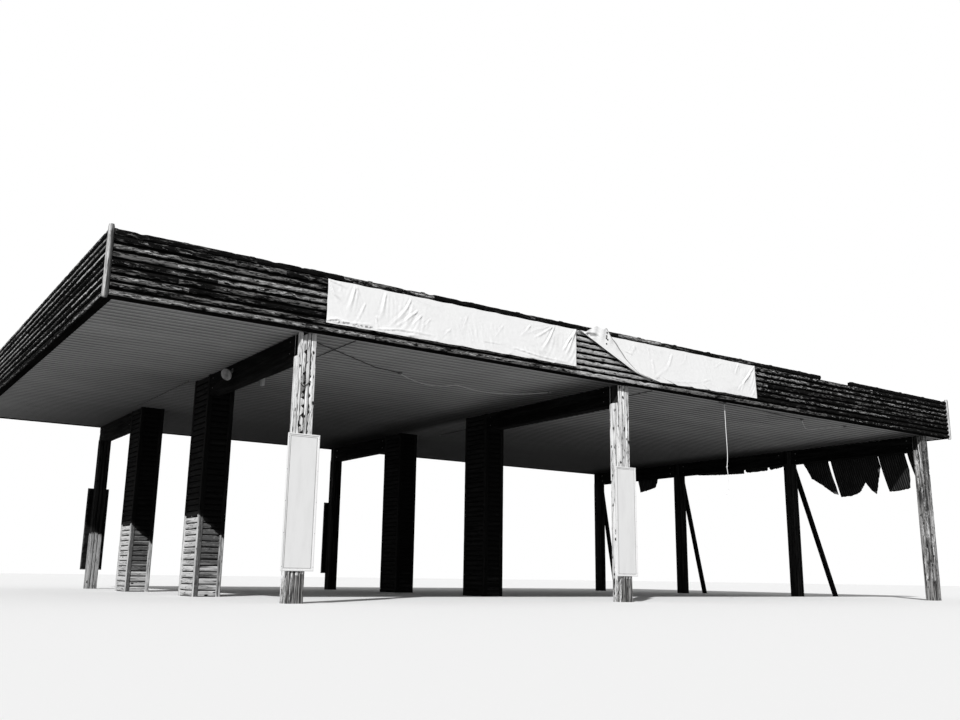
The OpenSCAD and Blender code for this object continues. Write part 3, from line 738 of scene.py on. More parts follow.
def logBend(
    rng, length, width, thick, ragged=1.0, shelter=1.0, slim=(0.0, 0.0), tight=(1.0, 1.0), notches=(),
    dark=(0.1, 0.5, 2.0, 3.0),
):
    # Swells, knots, torn edges and a slight wander. A log is painted dark outside the shares of its width in
    # dark, as painted shade, with a painted highlight within them, as strongly as its shade weight says; slim
    # draws the lower and upper edge back, tight says how much each of them may wander, and notches are
    # (place, edge) pairs of bites out of an edge.
    seed = rng.uniform(0, 200)
    slim = [share + rng.uniform(0.0, 0.05) * ragged for share in slim]
    knots = [
        (
            rng.uniform(0, length), rng.uniform(0.2, 0.8), rng.uniform(*logLook["knotSize"]),
            rng.choice(logLook["knotRise"]),
        )
        for _ in range(int(length * logLook["knots"] * ragged))
    ]
    tears = [
        (
            rng.uniform(0, length), rng.choice((0, 1)), rng.uniform(*logLook["tearSize"]),
            rng.uniform(0.04, 0.17),
        )
        for _ in range(int(length * logLook["tears"] * ragged))
    ]
    tears += [(where, side, logLook["notchSize"], rng.uniform(0.2, 0.4)) for where, side in notches]

    def wane(s, side):
        # How far the bark edge has drawn back at this place, as a share of the width
        slow = 0.5 + 0.5 * noise.noise((s * 0.9, seed, side * 7.0))
        quick = 0.5 + 0.5 * noise.noise((s * 7.5, seed, side * 7.0 + 3.0))
        lost = slim[side] + ragged * logLook["wane"] * (0.55 * slow + 0.45 * quick)
        for where, which, size, deep in tears:
            if which == side and abs(s - where) < size * 2.2:
                lost += deep * math.exp(-((s - where) / size) ** 2)
        return min(lost, logLook["mostLost"]) * tight[side]

    def bend(s, p, q):
        share = q / width
        low, high = wane(s, 0), 1 - wane(s, 1)
        swell = 0.5 + 0.5 * noise.noise((s * 1.3, seed, 0.0))
        fine = 0.5 + 0.5 * noise.noise((s * 10.0, share * 5.0, seed + 9.0))
        full = 1.0 - ragged * (logLook["swell"] * swell + logLook["fine"] * fine)
        level = share + 0.12 * (swell - 0.5)
        # Painted shade below and above the lit band of the log, painted highlight within it
        openly = smooth(level, dark[0], dark[1]) * (1 - smooth(level, dark[2], dark[3]))
        bare = p / thick * (1 - shelter * (1 - openly))
        for where, height, size, lump in knots:
            away = math.hypot(s - where, (share - height) * width)
            if away < size * 2.5:
                full += lump * math.exp(-(away / size) ** 2)
                bare *= 1 - 0.85 * math.exp(-(away / (size * 0.6)) ** 2)
        return s, p * min(full, 1.0), width * (low + (high - low) * share), bare
    return bend


def addLog(shape, place, length, width, thick, wood, step, count=9, flat=1.0, ragged=1.0, **edges):
    bend = logBend(shape["random"], length, width, thick, ragged, **edges)
    addLoft(shape, place, length, step, halfRound(width, thick, count, flat), wood, bend)


def frontWood(course, x, rng):
    for paleCourse, where, tone, paint in fascia["paleLogs"]:
        joints = (0.0, *fascia["frontJoints"][paleCourse], canopyLength)
        left = max(j for j in joints if j <= where)
        if paleCourse == course and abs(left - x) < 0.15:
            return tone, paint
    worn = rng.random() < fascia["wornShare"]
    lost = smooth(x, *fascia["lostFrom"])
    tone, paint = rng.uniform(0.1, 0.6), rng.uniform(*fascia["wornPaint" if worn else "keptPaint"])
    if course == fascia["courses"] - 1:
        return tone - 0.8, 0.5 * paint
    return tone - 0.35 * lost, paint - 0.12 * lost


def coveredWood(wood, start):
    # The same wood along a log, with more paint where a banner kept the weather off
    tone, paint = wood
    left, right, kept = fascia["lately"]

    def along(s):
        covered = smooth(start + s, left - 0.1, left + 0.15) * (1 - smooth(start + s, right - 0.4, right))
        return tone + 0.9 * covered, paint + kept * covered
    return along


def courseSpans(course, length, joints, opening):
    # The logs of one course as pairs of start and end
    margin = pole["diameter"] + fascia["gap"]
    low, high = margin + fascia["endClear"], length - margin - fascia["endClear"]
    stops = [margin, *(j for j in joints if low < j < high), length - margin]
    spans = []
    for a, b in zip(stops, stops[1:]):
        b = b - fascia["gap"] if b < length - margin else b
        if opening and course == fascia["courses"] - 1 and b > opening[0] and a < opening[1]:
            parts = [(a, min(b, opening[0])), (max(a, opening[1]), b)]
        else:
            parts = [(a, b)]
        spans += [(p, q) for p, q in parts if q - p > fascia["shortest"]]
    return spans


def makeFascia(
    name, corner, along, out, length, seed, step, ragged, front=False, dark=(0.1, 0.5, 2.0, 3.0),
    paint=(0.15, 0.5),
):
    # corner is the wall's start on the outer face, and the logs' flat backs lie one thickness inside it
    shape = newShape(seed)
    rng = shape["random"]
    for course in range(fascia["courses"]):
        if front:
            joints = fascia["frontJoints"][course]
        else:
            first = rng.uniform(0.6, fascia["logLength"])
            joints = [first + k * fascia["logLength"] + rng.uniform(-0.5, 0.5) for k in range(6)]
        opening = (fascia["gapStart"], fascia["gapStart"] + fascia["gapLength"]) if front else None
        for a, b in courseSpans(course, length, joints, opening):
            wood = frontWood(course, a, rng) if front else (rng.uniform(0.1, 0.8), rng.uniform(*paint))
            top = course == fascia["courses"] - 1
            if front and not top:
                wood = coveredWood(wood, a)
            width = coursePitch - fascia["gap"] / 2 if top else coursePitch
            start = corner - out * fascia["thick"] + along * a
            start.z = ceilingZ + course * coursePitch
            place = (start, along, out, skyward)
            thick = fascia["thick"] * rng.uniform(fascia["thinnest"], 1.0)
            # The lowest log is slimmer, and the two highest ones meet because nothing stands behind them
            slim = (0.12, 0.0) if front and course == 0 else (0.0, 0.0)
            # The band of each log left unshaded, with painted shade outside it; on the sides the lowest log's
            # band lies lower
            bands = (0.0, 0.06, 0.2, 0.4) if course == 0 and not front else dark
            tight = {0: (0.4, 1.0), fascia["courses"] - 2: (1.0, 0.0), fascia["courses"] - 1: (0.0, 1.0)}
            addLog(
                shape, place, b - a, width, thick, wood, step, fascia["arcPoints"], rng.uniform(0.5, 0.9),
                ragged, slim=slim, tight=tight.get(course, (1.0, 1.0)), dark=bands,
            )
    node = name.replace("_half_rounds", "_logs")
    finishShape(shape, name, finish["fasciaWood"], (node,))


# Painted shade on each log outside its band: the front's logs are darkened only along their lowest part, the
# left's keep only a thin painted highlight, and the back's and right's are darkened on their lower half
makeFascia(
    "front_half_rounds", at(0, 0), east, -north, canopyLength, 11, 0.034, 1.0, front=True,
    dark=(0.0, 0.2, 2.0, 3.0),
)
makeFascia(
    "left_half_rounds", at(0, canopyDepth), -north, -east, canopyDepth, 12, 0.055, 0.6,
    dark=(0.3, 0.42, 0.62, 0.84), paint=(0.5, 0.8),
)
makeFascia("back_half_rounds", at(canopyLength, canopyDepth), -east, north, canopyLength, 13, 0.075, 0.8)
makeFascia("right_half_rounds", at(canopyLength, 0), north, east, canopyDepth, 14, 0.075, 0.8)


def makeCornerPoles():
    # Peeled poles at the corners, a little knobbly, with rounded tops and painted shade on the side turned
    # from the sun
    shape = newShape(21)
    rng = shape["random"]
    low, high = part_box("corner_poles")
    radius = pole["diameter"] / 2
    angles = [2 * math.pi * k / pole["sides"] for k in range(pole["sides"])]
    section = [(radius * math.cos(a), radius * math.sin(a)) for a in angles]
    for x in (radius, canopyLength - radius):
        for y in (radius, canopyDepth - radius):
            seed = rng.uniform(0, 90)
            tall = high.z - low.z

            def bend(s, p, q, seed=seed, tall=tall):
                lump = 1 - pole["lumps"] * (0.5 + 0.5 * noise.noise((s * 3.0 + seed, p * 14, q * 14)))
                end = min(s, tall - s)
                rounding = 1 - pole["roundTop"] * max(0.0, 1 - end / pole["roundedOver"]) ** 2
                # Painted shade: the side turned from the sun is darker
                sunnySide = smooth(q * 0.4 - p, -0.6 * radius, 0.5 * radius)
                return s, p * lump * rounding, q * lump * rounding, sunnySide

            place = (at(x, y, low.z), skyward, east, north)
            addLoft(shape, place, tall, pole["step"], section, (rng.uniform(0.4, 0.8), 0.6), bend)
    finishShape(shape, "peeled_corner_poles", finish["poleWood"], ("corner_poles",), 60)


makeCornerPoles()

# Posts: a core darkened as painted shade where it shows, with slabs nailed on, peeling on the front row
post = {
    "slab": 0.038, "boardTop": 2.9, "greyBelow": 0.56, "sunlitBelow": 1.7, "ragged": 0.22,
    "brokenTo": 4.0, "beamBottom": 4.55,
    "hook": ((3.53, 3.8), (3.6, 3.75), (3.72, 3.86)), "hookRadius": 0.007,  # along the front and up
    "channel": (0.17, 0.24), "bedding": 0.002,  # the recess in the front face, as shares of its width
    "notchSpacing": 0.18, "notches": (14, 25),  # bites out of one edge, counted in spacings from the foot
}


def postWood(rng, pale, kind):
    base = rng.uniform(0.35, 0.75)

    def wood(s):
        # Little paint is left near the ground on the front faces; on a back post the pale paint stops at the
        # sun's line: painted light below it and painted shade above
        low = max(0.0, min(1.0, (post["greyBelow"] - s) / 0.12)) * (0.6 if kind == "front" else 0.28)
        if pale < 0.3:
            low = -0.9 * max(0.0, min(1.0, (post["sunlitBelow"] - s) / 0.25)) * (pale > 0.1)
        return base, pale - low + 0.06 * noise.noise((s * 0.8, base * 50, 0.0))
    return wood


def makePost(node, seed, pale, frontSlabs):
    low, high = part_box(node)
    shape = newShape(seed)
    rng = shape["random"]
    wide, tall, slab = high.x - low.x, high.z - low.z, post["slab"]
    core = wide - 2 * slab
    corePlace = (Vector((low.x + slab, low.y + slab, low.z)), skyward, east, north)
    # The core is darkened: painted shade where it shows between the slabs
    addPlank(shape, corePlace, tall, core, core, (-0.6, -0.5), 0.4, 0.0)
    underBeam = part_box("left_front_beam")[0].z - low.z + 0.05
    cornerTop = underBeam if node == "middle_front_post" else tall
    leftSlabs = ((0.0, 0.5, cornerTop), (0.46, 0.54, underBeam))
    rightSlabs = ((0.0, 0.52, underBeam), (0.5, 0.5, tall))
    backSlabs = ((0.04, 0.5, tall), (0.56, 0.4, tall))
    faces = [
        # Outward direction, direction across, the face's first corner and its slabs:
        # where each starts and how wide it is, as shares of the face, and where it stops
        (-east, north, Vector((low.x + slab, low.y, low.z)), leftSlabs, "side"),
        (-north, east, Vector((low.x, low.y + slab, low.z)), [(*s, tall) for s in frontSlabs], "front"),
        (east, -north, Vector((high.x - slab, high.y, low.z)), rightSlabs, "side"),
        (north, -east, Vector((high.x, high.y - slab, low.z)), backSlabs, "plain"),
    ]
    for out, across, corner, slabs, kind in faces:
        for start, share, top in slabs:
            place = (corner + across * (start * wide), skyward, out, across)
            count = 11 if share > 0.3 else 9
            wood = postWood(rng, pale, kind)
            notches = notchesOf(rng, node, kind, start)
            addLog(
                shape, place, top - rng.uniform(0.0, 0.02), share * wide, slab, wood, 0.05, count, 0.16,
                post["ragged"], shelter=0.0, notches=notches,
            )
    if node == "left_front_post":
        addCleats(shape, low, wide, slab)
    # Posts in shade get the darker copy of the wood: painted shade
    material = finish["postWood" if pale > 0.3 else "shadePostWood"]
    finishShape(shape, node + "_slabs", material, (node,))


def notchesOf(rng, node, kind, start):
    # Branch stubs and rot along one edge of a slab on the front faces
    if kind != "front" or start < 0.6 or not node.endswith("front_post"):
        return ()
    edge = 0 if node == "left_front_post" else 1
    return [(z * post["notchSpacing"] + rng.uniform(-0.06, 0.06), edge) for z in range(*post["notches"])]


def addCleats(shape, low, wide, slab):
    # A recessed strip in the channel of the front face, broken into blocks with slanting cracks
    rng = shape["random"]
    left, across = low.x + wide * post["channel"][0], wide * post["channel"][1]
    back = low.y + slab + post["bedding"]
    # Below the sign the channel is filled by one worn strip
    strip = (Vector((left, back, low.z)), skyward, -north, east)
    addPlank(shape, strip, post["boardTop"] - low.z - 0.5, across, slab * 0.75, (0.55, 0.5), 0.2, 0.002)
    z, slant = post["boardTop"] - 0.4, 0.02
    while z < post["beamBottom"]:
        tall = rng.uniform(0.06, 0.15) if z < post["brokenTo"] else rng.uniform(0.25, 0.4)
        rise = rng.choice((-1, 1)) * rng.uniform(0.015, 0.04)
        deep = slab * rng.uniform(0.35, 0.8)
        corners = [(0, z + slant), (across, z - slant), (across, z + tall - rise), (0, z + tall + rise)]
        first = len(shape["points"])
        upper = z > post["brokenTo"]
        mark = (rng.uniform(0.5 if upper else 0.2, 0.9), rng.uniform(0.8 if upper else 0.35, 1.0), 1.0)
        front = low.y + slab - deep
        for y, inset in ((back, 0.0), (front, 0.0), (front - 0.004, 0.008)):
            for x, height in corners:
                x += inset if x == 0 else -inset
                height += inset if height < z + tall / 2 else -inset
                point = Vector((left + x, y + rng.uniform(-0.003, 0.0), height))
                addPoint(shape, point, (height, x), mark)
        joinRings(shape, first, len(corners), 2)
        z += tall + rng.uniform(0.018, 0.045)
        slant = -rise
    # A bent wire hook is left on the face
    hook = [Vector((leftX + x, low.y - 0.008, z)) for x, z in post["hook"]]
    addTube(shape, smoothRoute(hook, 3), post["hookRadius"], 8, (-0.8, -0.6))


posts = {
    # How much paint each post kept; the back posts, which stand in shade, get little or none: painted shade
    "left_front_post": 0.9, "middle_front_post": 0.88, "end_front_post": 0.52, "left_back_post": 0.15,
    "middle_back_post": 0.0, "end_second_post": -0.1, "end_third_post": -0.1, "end_back_post": 0.0,
}
frontFaces = {
    # Where the slabs of a front face start and how wide they are, as shares of its width
    "left_front_post": ((0.0, 0.14), (0.44, 0.2), (0.67, 0.33)),
    "middle_front_post": ((0.0, 0.36), (0.4, 0.24), (0.66, 0.24), (0.91, 0.09)),
    "other": ((0.0, 0.32), (0.36, 0.25), (0.65, 0.35)),
}
for index, (nodeName, pale) in enumerate(posts.items()):
    makePost(nodeName, 31 + index, pale, frontFaces.get(nodeName, frontFaces["other"]))

# Columns: framed boxes with log siding between corner boards
column = {
    "siding": 0.042, "corner": 0.095, "proud": 0.008, "course": 0.128, "gap": 0.007,
    "sunSlope": 1.15, "sunPaintFade": 0.14, "tuck": 0.004,  # how far the siding runs under the corner boards
}


def sunPaintedAt(x, z, sunny):
    # The siding's pale coat stops at the line where the sun comes in under the left edge of the roof, lower
    # further from that edge: painted light below the line and painted shade above it
    limit = ceilingZ - (x - leftX) / column["sunSlope"] + column["sunPaintFade"] / 2
    return sunny * max(0.0, min(1.0, (limit - z) / column["sunPaintFade"]))


def makeColumn(node, seed, sunny):
    low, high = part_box(node)
    shape = newShape(seed)
    rng = shape["random"]
    proud, corner, thick = column["proud"], column["corner"], column["siding"]
    lowX, lowY, highX, highY = low.x + proud, low.y + proud, high.x - proud, high.y - proud
    wide, deep, tall = highX - lowX, highY - lowY, high.z - low.z
    core = (Vector((lowX + thick, lowY + thick, low.z)), skyward, east, north)
    addPlank(shape, core, tall, deep - 2 * thick, wide - 2 * thick, (0.1, -0.4), 1.0, 0.0)
    coreEnd = len(shape["points"])
    sides = [
        (-north, east, Vector((lowX, lowY + thick, low.z)), wide),
        (north, -east, Vector((highX, highY - thick, low.z)), wide),
        (-east, north, Vector((lowX + thick, lowY, low.z)), deep),
        (east, -north, Vector((highX - thick, highY, low.z)), deep),
    ]
    for out, across, start, span in sides:
        # The left side, which faces the sun, is painted palest and the other sides darker: painted light and
        # shade
        toneLow, toneHigh = (0.5, 0.9) if out == -east else (-0.75, -0.1)
        z = 0.0
        while z < tall - 0.02:
            width = min(column["course"], tall - z) - column["gap"]
            lowerEdge = start + across * (corner - column["tuck"]) + skyward * (z + column["gap"] / 2)
            length = span - 2 * corner + 2 * column["tuck"]
            grade = 1.0 * (1 - smooth(z, 0.15, 0.8)) if out == -north else 0.0
            wood = (rng.uniform(toneLow, toneHigh) + grade, rng.uniform(-0.35, 0.0))
            # Each course is darkened along its lower part: painted shade under the course above
            addLog(
                shape, (lowerEdge, across, out, skyward), length, width, thick, wood, 0.075, 9, 0.28, 0.2,
                shelter=0.8, dark=(0.02, 0.26, 2.0, 3.0),
            )
            z += column["course"]
        for end in (0, 1):
            # A corner board on each side of each corner
            boardStart = start + across * (0 if end == 0 else span - corner)
            boardSection = boxSection(thick + proud, corner, 0.008)
            tones = (0.2, 0.5) if out == -north and end == 1 else (toneLow, toneHigh)
            boardWood = (rng.uniform(*tones), -0.1)
            bend = plankBend(rng.uniform(0, 90), 0.002)
            addLoft(shape, (boardStart, skyward, out, across), tall, 0.06, boardSection, boardWood, bend)
    # A pale coat below the sun's line: painted light
    for index in range(coreEnd, len(shape["points"])):
        point, (tone, paint, bare) = shape["points"][index], shape["wood"][index]
        shape["wood"][index] = (tone, paint + 1.2 * sunPaintedAt(point.x, point.z, sunny), bare)
    finishShape(shape, node + "_siding", finish["sidingWood"], (node,))


columns = {
    # How much painted sunlight each column's siding gets
    "left_front_column": 1.0, "left_rear_column": 1.0,
    "middle_front_column": 0.15, "middle_rear_column": 0.15,
}
for index, (nodeName, sunny) in enumerate(columns.items()):
    makeColumn(nodeName, 51 + index, sunny)

# Beams: built-up timbers, boarded on both sides, with a paler board under their lower edge
beam = {
    "ply": 0.07, "course": 0.215, "edgeBoard": 0.032,
    "boltFromEnd": 0.18, "boltHeights": (0.12, 0.34),
    "boltProfile": [(0, 0.022), (0.006, 0.022), (0.006, 0.012), (0.012, 0.011), (0.013, 0.004)],
}


def addBeam(shape, low, high):
    rng = shape["random"]
    long, wide, tall = high.y - low.y, high.x - low.x, high.z - low.z
    ply = beam["ply"]
    core = (Vector((low.x + ply, low.y + 0.004, low.z + 0.03)), north, east, skyward)
    addPlank(shape, core, long - 0.008, tall - 0.03, wide - 2 * ply, (0.2, 0.0), 0.8, 0.0)
    for out, x in ((-east, low.x + ply), (east, high.x - ply)):
        z = low.z + 0.012
        while z < high.z - 0.05:
            width = min(beam["course"], high.z - z) - 0.006
            place = (Vector((x, low.y, z)), north, out, skyward)
            thick = ply - rng.uniform(0.0, 0.012)
            addPlank(shape, place, long, width, thick, (rng.uniform(0.1, 0.6), 0.1), 0.4, 0.006)
            z += beam["course"]
    start = Vector((low.x + wide / 2 - wide * 0.46, low.y, low.z))
    place = (start, north, east, skyward)
    addPlank(shape, place, long, beam["edgeBoard"], wide * 0.92, (0.6, 0.2), 0.4, 0.003)


def finishBeam(shape, node):
    finishShape(shape, node + "_boards", [finish["beamWood"], finish["steelPlate"]], (node,))


def makeBeam(node, seed):
    low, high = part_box(node)
    shape = newShape(seed)
    addBeam(shape, low, high)
    addBolts(shape, low, high)
    finishBeam(shape, node)


def addBolts(shape, low, high):
    # Washers and bolt heads near both ends
    for y in (low.y + beam["boltFromEnd"], high.y - beam["boltFromEnd"]):
        for out, x in ((-east, low.x), (east, high.x)):
            for height in beam["boltHeights"]:
                middle = Vector((x, y, low.z + height)) - out * 0.012
                addLathe(shape, middle, out, north, beam["boltProfile"], 8, skin=1)


beamNodes = ("left_front_beam", "left_rear_beam", "middle_front_beam", "middle_rear_beam")
for index, nodeName in enumerate(beamNodes):
    makeBeam(nodeName, 61 + index)


def makeEndBeam():
    shape = newShape(66)
    low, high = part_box("end_beam")
    stops = [low.y]
    for node in ("end_second_post", "end_third_post"):
        stops += [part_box(node)[0].y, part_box(node)[1].y]
    stops.append(high.y)
    for a, b in zip(stops[::2], stops[1::2]):
        lowCorner, highCorner = Vector((low.x, a, low.z)), Vector((high.x, b, high.z))
        addBeam(shape, lowCorner, highCorner)
        addBolts(shape, lowCorner, highCorner)
    finishBeam(shape, "end_beam")


makeEndBeam()


prop = {"rows": 60, "cutAt": 0.985, "chamfer": 0.012, "bow": 0.006}


def makeProp(node, seed):
    # A leaning timber, cut level at the foot and against the post at the top
    low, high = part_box(node)
    shape = newShape(seed)
    reach, tall = high.x - low.x, high.z - low.z
    slope = reach / tall
    foot = (high.y - low.y) * math.sqrt(1 + slope * slope)
    seedWarp = shape["random"].uniform(0, 90)
    for i in range(prop["rows"] + 1):
        t = prop["cutAt"] * i / prop["rows"]
        z, right = tall * t, reach * (1 - t)
        left = max(0.0, right - foot)
        bow = prop["bow"] * noise.noise((z * 0.8, seedWarp, 0))
        c = min(prop["chamfer"], (right - left) / 3)
        corners = [
            (left + c, low.y), (right - c, low.y), (right, low.y + c), (right, high.y - c),
            (right - c, high.y), (left + c, high.y), (left, high.y - c), (left, low.y + c),
        ]
        for k, (x, y) in enumerate(corners):
            # The cut against the post stays flat
            keep = 0.0 if left == 0.0 and k in (0, 5, 6, 7) else bow
            addPoint(shape, Vector((low.x + x + keep, y, low.z + z)), (z, 0.06 * k), (0.35, 0.12, 1.0))
    joinRings(shape, 0, len(corners), prop["rows"])
    finishShape(shape, node + "_timber", finish["beamWood"], (node,))


for index, nodeName in enumerate(("front_prop", "middle_prop", "back_prop")):
    makeProp(nodeName, 71 + index)

# Ceiling: ribbed sheets whose ribs run along the canopy
ceiling = {
    "rib": 0.2155, "ribTop": 0.02, "ribFoot": 0.04, "ribDeep": 0.016, "beadDeep": 0.007, "bead": 0.022,
    "thick": 0.0195, "sheets": 6, "seam": 0.004, "sag": 0.0007,
    # Painted light and shade on the paint's colour at depths from the front, under the middle of the roof and
    # near its left end: darker deeper in, lighter near the left end
    "shadeDepths": (0.0, 2.0, 4.0, 6.0, 8.0, 11.0, 15.0),
    "middleLit": (1.0, 0.97, 0.78, 0.54, 0.42, 0.3, 0.26),
    "endLit": (1.12, 1.0, 0.96, 0.92, 0.86, 0.8, 0.72),
    "highlightDepths": (0.7, 0.3),  # shares of the rib's depth that get a painted highlight, in the left and the right half
    # Beams with a painted shadow on their left: where they stand, how far it reaches and what share of the
    # paint's colour shows
    "shadowingBeams": ((11.2, 1.7, 0.25), (23.3, 1.5, 0.3)),
}


def paintedLightAt(x, y):
    # Painted light and shade: the share of the paint's colour that shows at a place
    depths = ceiling["shadeDepths"]
    k = max(i for i in range(len(depths) - 1) if depths[i] <= max(y, 0.0))
    t = min(1.0, (y - depths[k]) / (depths[k + 1] - depths[k]))
    levels = ceiling["middleLit"], ceiling["endLit"]
    middle, end = (level[k] * (1 - t) + level[k + 1] * t for level in levels)
    clean = end + (middle - end) * smooth(x + 0.1 * y, 0.5, 5.0)
    for beamX, reach, left in ceiling["shadowingBeams"]:
        wander = 0.35 * noise.noise((y * 0.5, beamX, 2.0))
        if x < beamX + 0.3:
            clean *= 1 - (1 - left) * smooth(x, beamX - reach + wander, beamX - 0.35)
    return clean


def ceilingSection(low, high):
    # A sheet's outline across its ribs, with a shallow bead in the flat between two ribs
    deep, crest = ceiling["ribDeep"], ceiling["ribDeep"] - ceiling["beadDeep"]
    slope = (ceiling["ribFoot"] - ceiling["ribTop"]) / 2
    half = ceiling["bead"] / 2
    lower, y = [(low.y, deep)], low.y + 0.05
    while y + ceiling["ribFoot"] < high.y - 0.02:
        lower += [(y, deep), (y + slope, 0.0), (y + slope + ceiling["ribTop"], 0.0)]
        lower.append((y + ceiling["ribFoot"], deep))
        bead = y + ceiling["rib"] / 2 + ceiling["ribFoot"] / 2
        if bead < high.y - 0.05:
            lower += [(bead - half, deep), (bead, crest), (bead + half, deep)]
        y += ceiling["rib"]
    lower += [(high.y, deep), (high.y, ceiling["thick"]), (low.y, ceiling["thick"])]
    return [(z, y - low.y) for y, z in lower]


def makeCeiling():
    low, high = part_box("soffit")
    shape = newShape(81)
    rng = shape["random"]
    section = ceilingSection(low, high)
    width = (high.x - low.x + ceiling["seam"]) / ceiling["sheets"]
    for k in range(ceiling["sheets"]):
        seed = rng.uniform(0, 90)
        # At the right end only the ribs get the painted highlight, not the low beads
        highlightBelow = ceiling["ribDeep"] * ceiling["highlightDepths"][0 if k < ceiling["sheets"] / 2 else 1]

        def bend(s, p, q, seed=seed, highlightBelow=highlightBelow):
            # Painted highlight on the low ribs, which face the lit ground, leaving the corners beside them
            # darker
            sag = ceiling["sag"] * (1 + noise.noise((s * 0.8, q * 0.5, seed)))
            return s, p + (sag if p < ceiling["thick"] else 0.0), q, 1.0 if p < highlightBelow else 0.0

        start = Vector((low.x + k * width, low.y, ceilingZ))
        place = (start, east, skyward, north)
        addLoft(shape, place, width - ceiling["seam"], 0.4, section, (0.5, 0.5), bend)
    # Painted shade over the whole ceiling, darker deeper in and left of the beams
    for index, point in enumerate(shape["points"]):
        clean = paintedLightAt(point.x - leftX, point.y - frontY)
        shape["wood"][index] = (clean, 0.5, shape["wood"][index][2])
    finishShape(shape, "ribbed_ceiling", finish["ceilingPaint"], ("soffit",), smooth=30)


makeCeiling()

# Conduits and small boxes on the ceiling
conduits = {
    "radius": 0.009,
    "runs": [
        [(4.6, 0.24), (4.6, 6.7)], [(3.36, 6.0), (3.36, 10.1)], [(4.05, 0.78), (5.99, 2.01)],
        [(5.99, 2.01), (6.7, 2.2)], [(12.3, 0.24), (12.3, 9.4)], [(14.6, 0.26), (18.24, 0.56)],
    ],
    "boxes": [
        (4.6, 6.7), (6.7, 2.2), (14.8, 0.26), (18.24, 0.56), (10.56, 1.858), (20.13, 0.54), (12.3, 9.4),
    ],
    "boxProfile": [(0, 0.052), (0.026, 0.052), (0.032, 0.047), (0.034, 0.02), (0.04, 0.016), (0.042, 0.006)],
    "clip": 0.024,
}


def makeConduits():
    shape = newShape(85)
    for run in conduits["runs"]:
        a, b = (at(x, y, ceilingZ - conduits["radius"] + 0.002) for x, y in run)
        count = max(2, int((b - a).length / 0.4))
        lifts = [0.0015 * noise.noise((i * 0.9, a.x, 0)) for i in range(count + 1)]
        line = [a.lerp(b, i / count) + Vector((0, 0, lift)) for i, lift in enumerate(lifts)]
        addTube(shape, line, conduits["radius"], 8)
        for i in range(1, count, 2):
            half = conduits["clip"] / 2
            clip = (line[i] - Vector((half, half, -0.004)), skyward, east, north)
            section = boxSection(conduits["clip"], conduits["clip"], 0.003)
            addLoft(shape, clip, conduits["radius"], 0.01, section, skin=1)
    for x, y in conduits["boxes"]:
        addLathe(shape, at(x, y, ceilingZ + 0.004), -skyward, east, conduits["boxProfile"], 20, skin=1)
    finishShape(shape, "ceiling_conduits", [finish["darkConduit"], finish["steelPlate"]])


makeConduits()

lampLook = {
    "base": 0.1, "baseHeight": 0.09, "jar": 0.066, "jarLength": 0.2,
    "offsets": (0.13, 0.56), "setback": 0.9,  # from the beam's side, and from the column's end
    "flood": (0.13, 3.55, 4.5), "floodRadius": 0.125, "floodAim": (-0.75, -0.5, -0.45),
    "footRise": 0.06, "footProfile": [(0, 0.05), (0.01, 0.05), (0.014, 0.03)],
}


def makeLamps():
    # Under each beam's end: a round base, a threaded collar and a frosted jar in a wire guard
    shape = newShape(88)
    for row in ("left", "middle"):
        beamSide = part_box(row + "_front_beam")[1].x
        places = [
            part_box(row + "_front_column")[0].y + column["proud"] - lampLook["setback"],
            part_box(row + "_rear_column")[1].y - column["proud"] + lampLook["setback"],
        ]
        for offset in lampLook["offsets"]:
            for y in places:
                addLamp(shape, Vector((beamSide + offset, y, ceilingZ)))
    addFlood(shape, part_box("left_front_beam")[0].x)
    skins = [finish["lampEnamel"], finish["frostedJar"], finish["steelPlate"]]
    finishShape(shape, "jar_lamps", skins, ("lamps",), smooth=50)


def addFlood(shape, beamSide):
    # A round floodlight on a bracket, tilted down, with a lens
    away, y, z = lampLook["flood"]
    r = lampLook["floodRadius"]
    face = Vector(lampLook["floodAim"]).normalized()
    side = face.cross(skyward).normalized()
    middle = Vector((beamSide - away, frontY + y, z))
    profile = [(-0.11, 0.03), (-0.1, r * 0.4), (-0.05, r * 0.72), (0.0, r * 0.94), (0.02, r), (0.03, r)]
    addLathe(shape, middle, face, side, profile + [(0.03, r * 0.9)], 24)
    lens = [(0.016, r * 0.92), (0.03, r * 0.86), (0.042, r * 0.5), (0.045, r * 0.1)]
    addLathe(shape, middle, face, side, lens, 24)
    back = middle - face * 0.1
    rise = lampLook["footRise"]
    arm = [
        back + Vector((0.02, 0, 0)), Vector((beamSide - 0.05, back.y, back.z + rise / 2)),
        Vector((beamSide + 0.01, back.y, back.z + rise)),
    ]
    addTube(shape, smoothRoute(arm, 4), 0.012, 10, skin=2)
    foot = Vector((beamSide + 0.004, back.y, back.z + rise))
    addLathe(shape, foot, -east, skyward, lampLook["footProfile"], 16, skin=2)


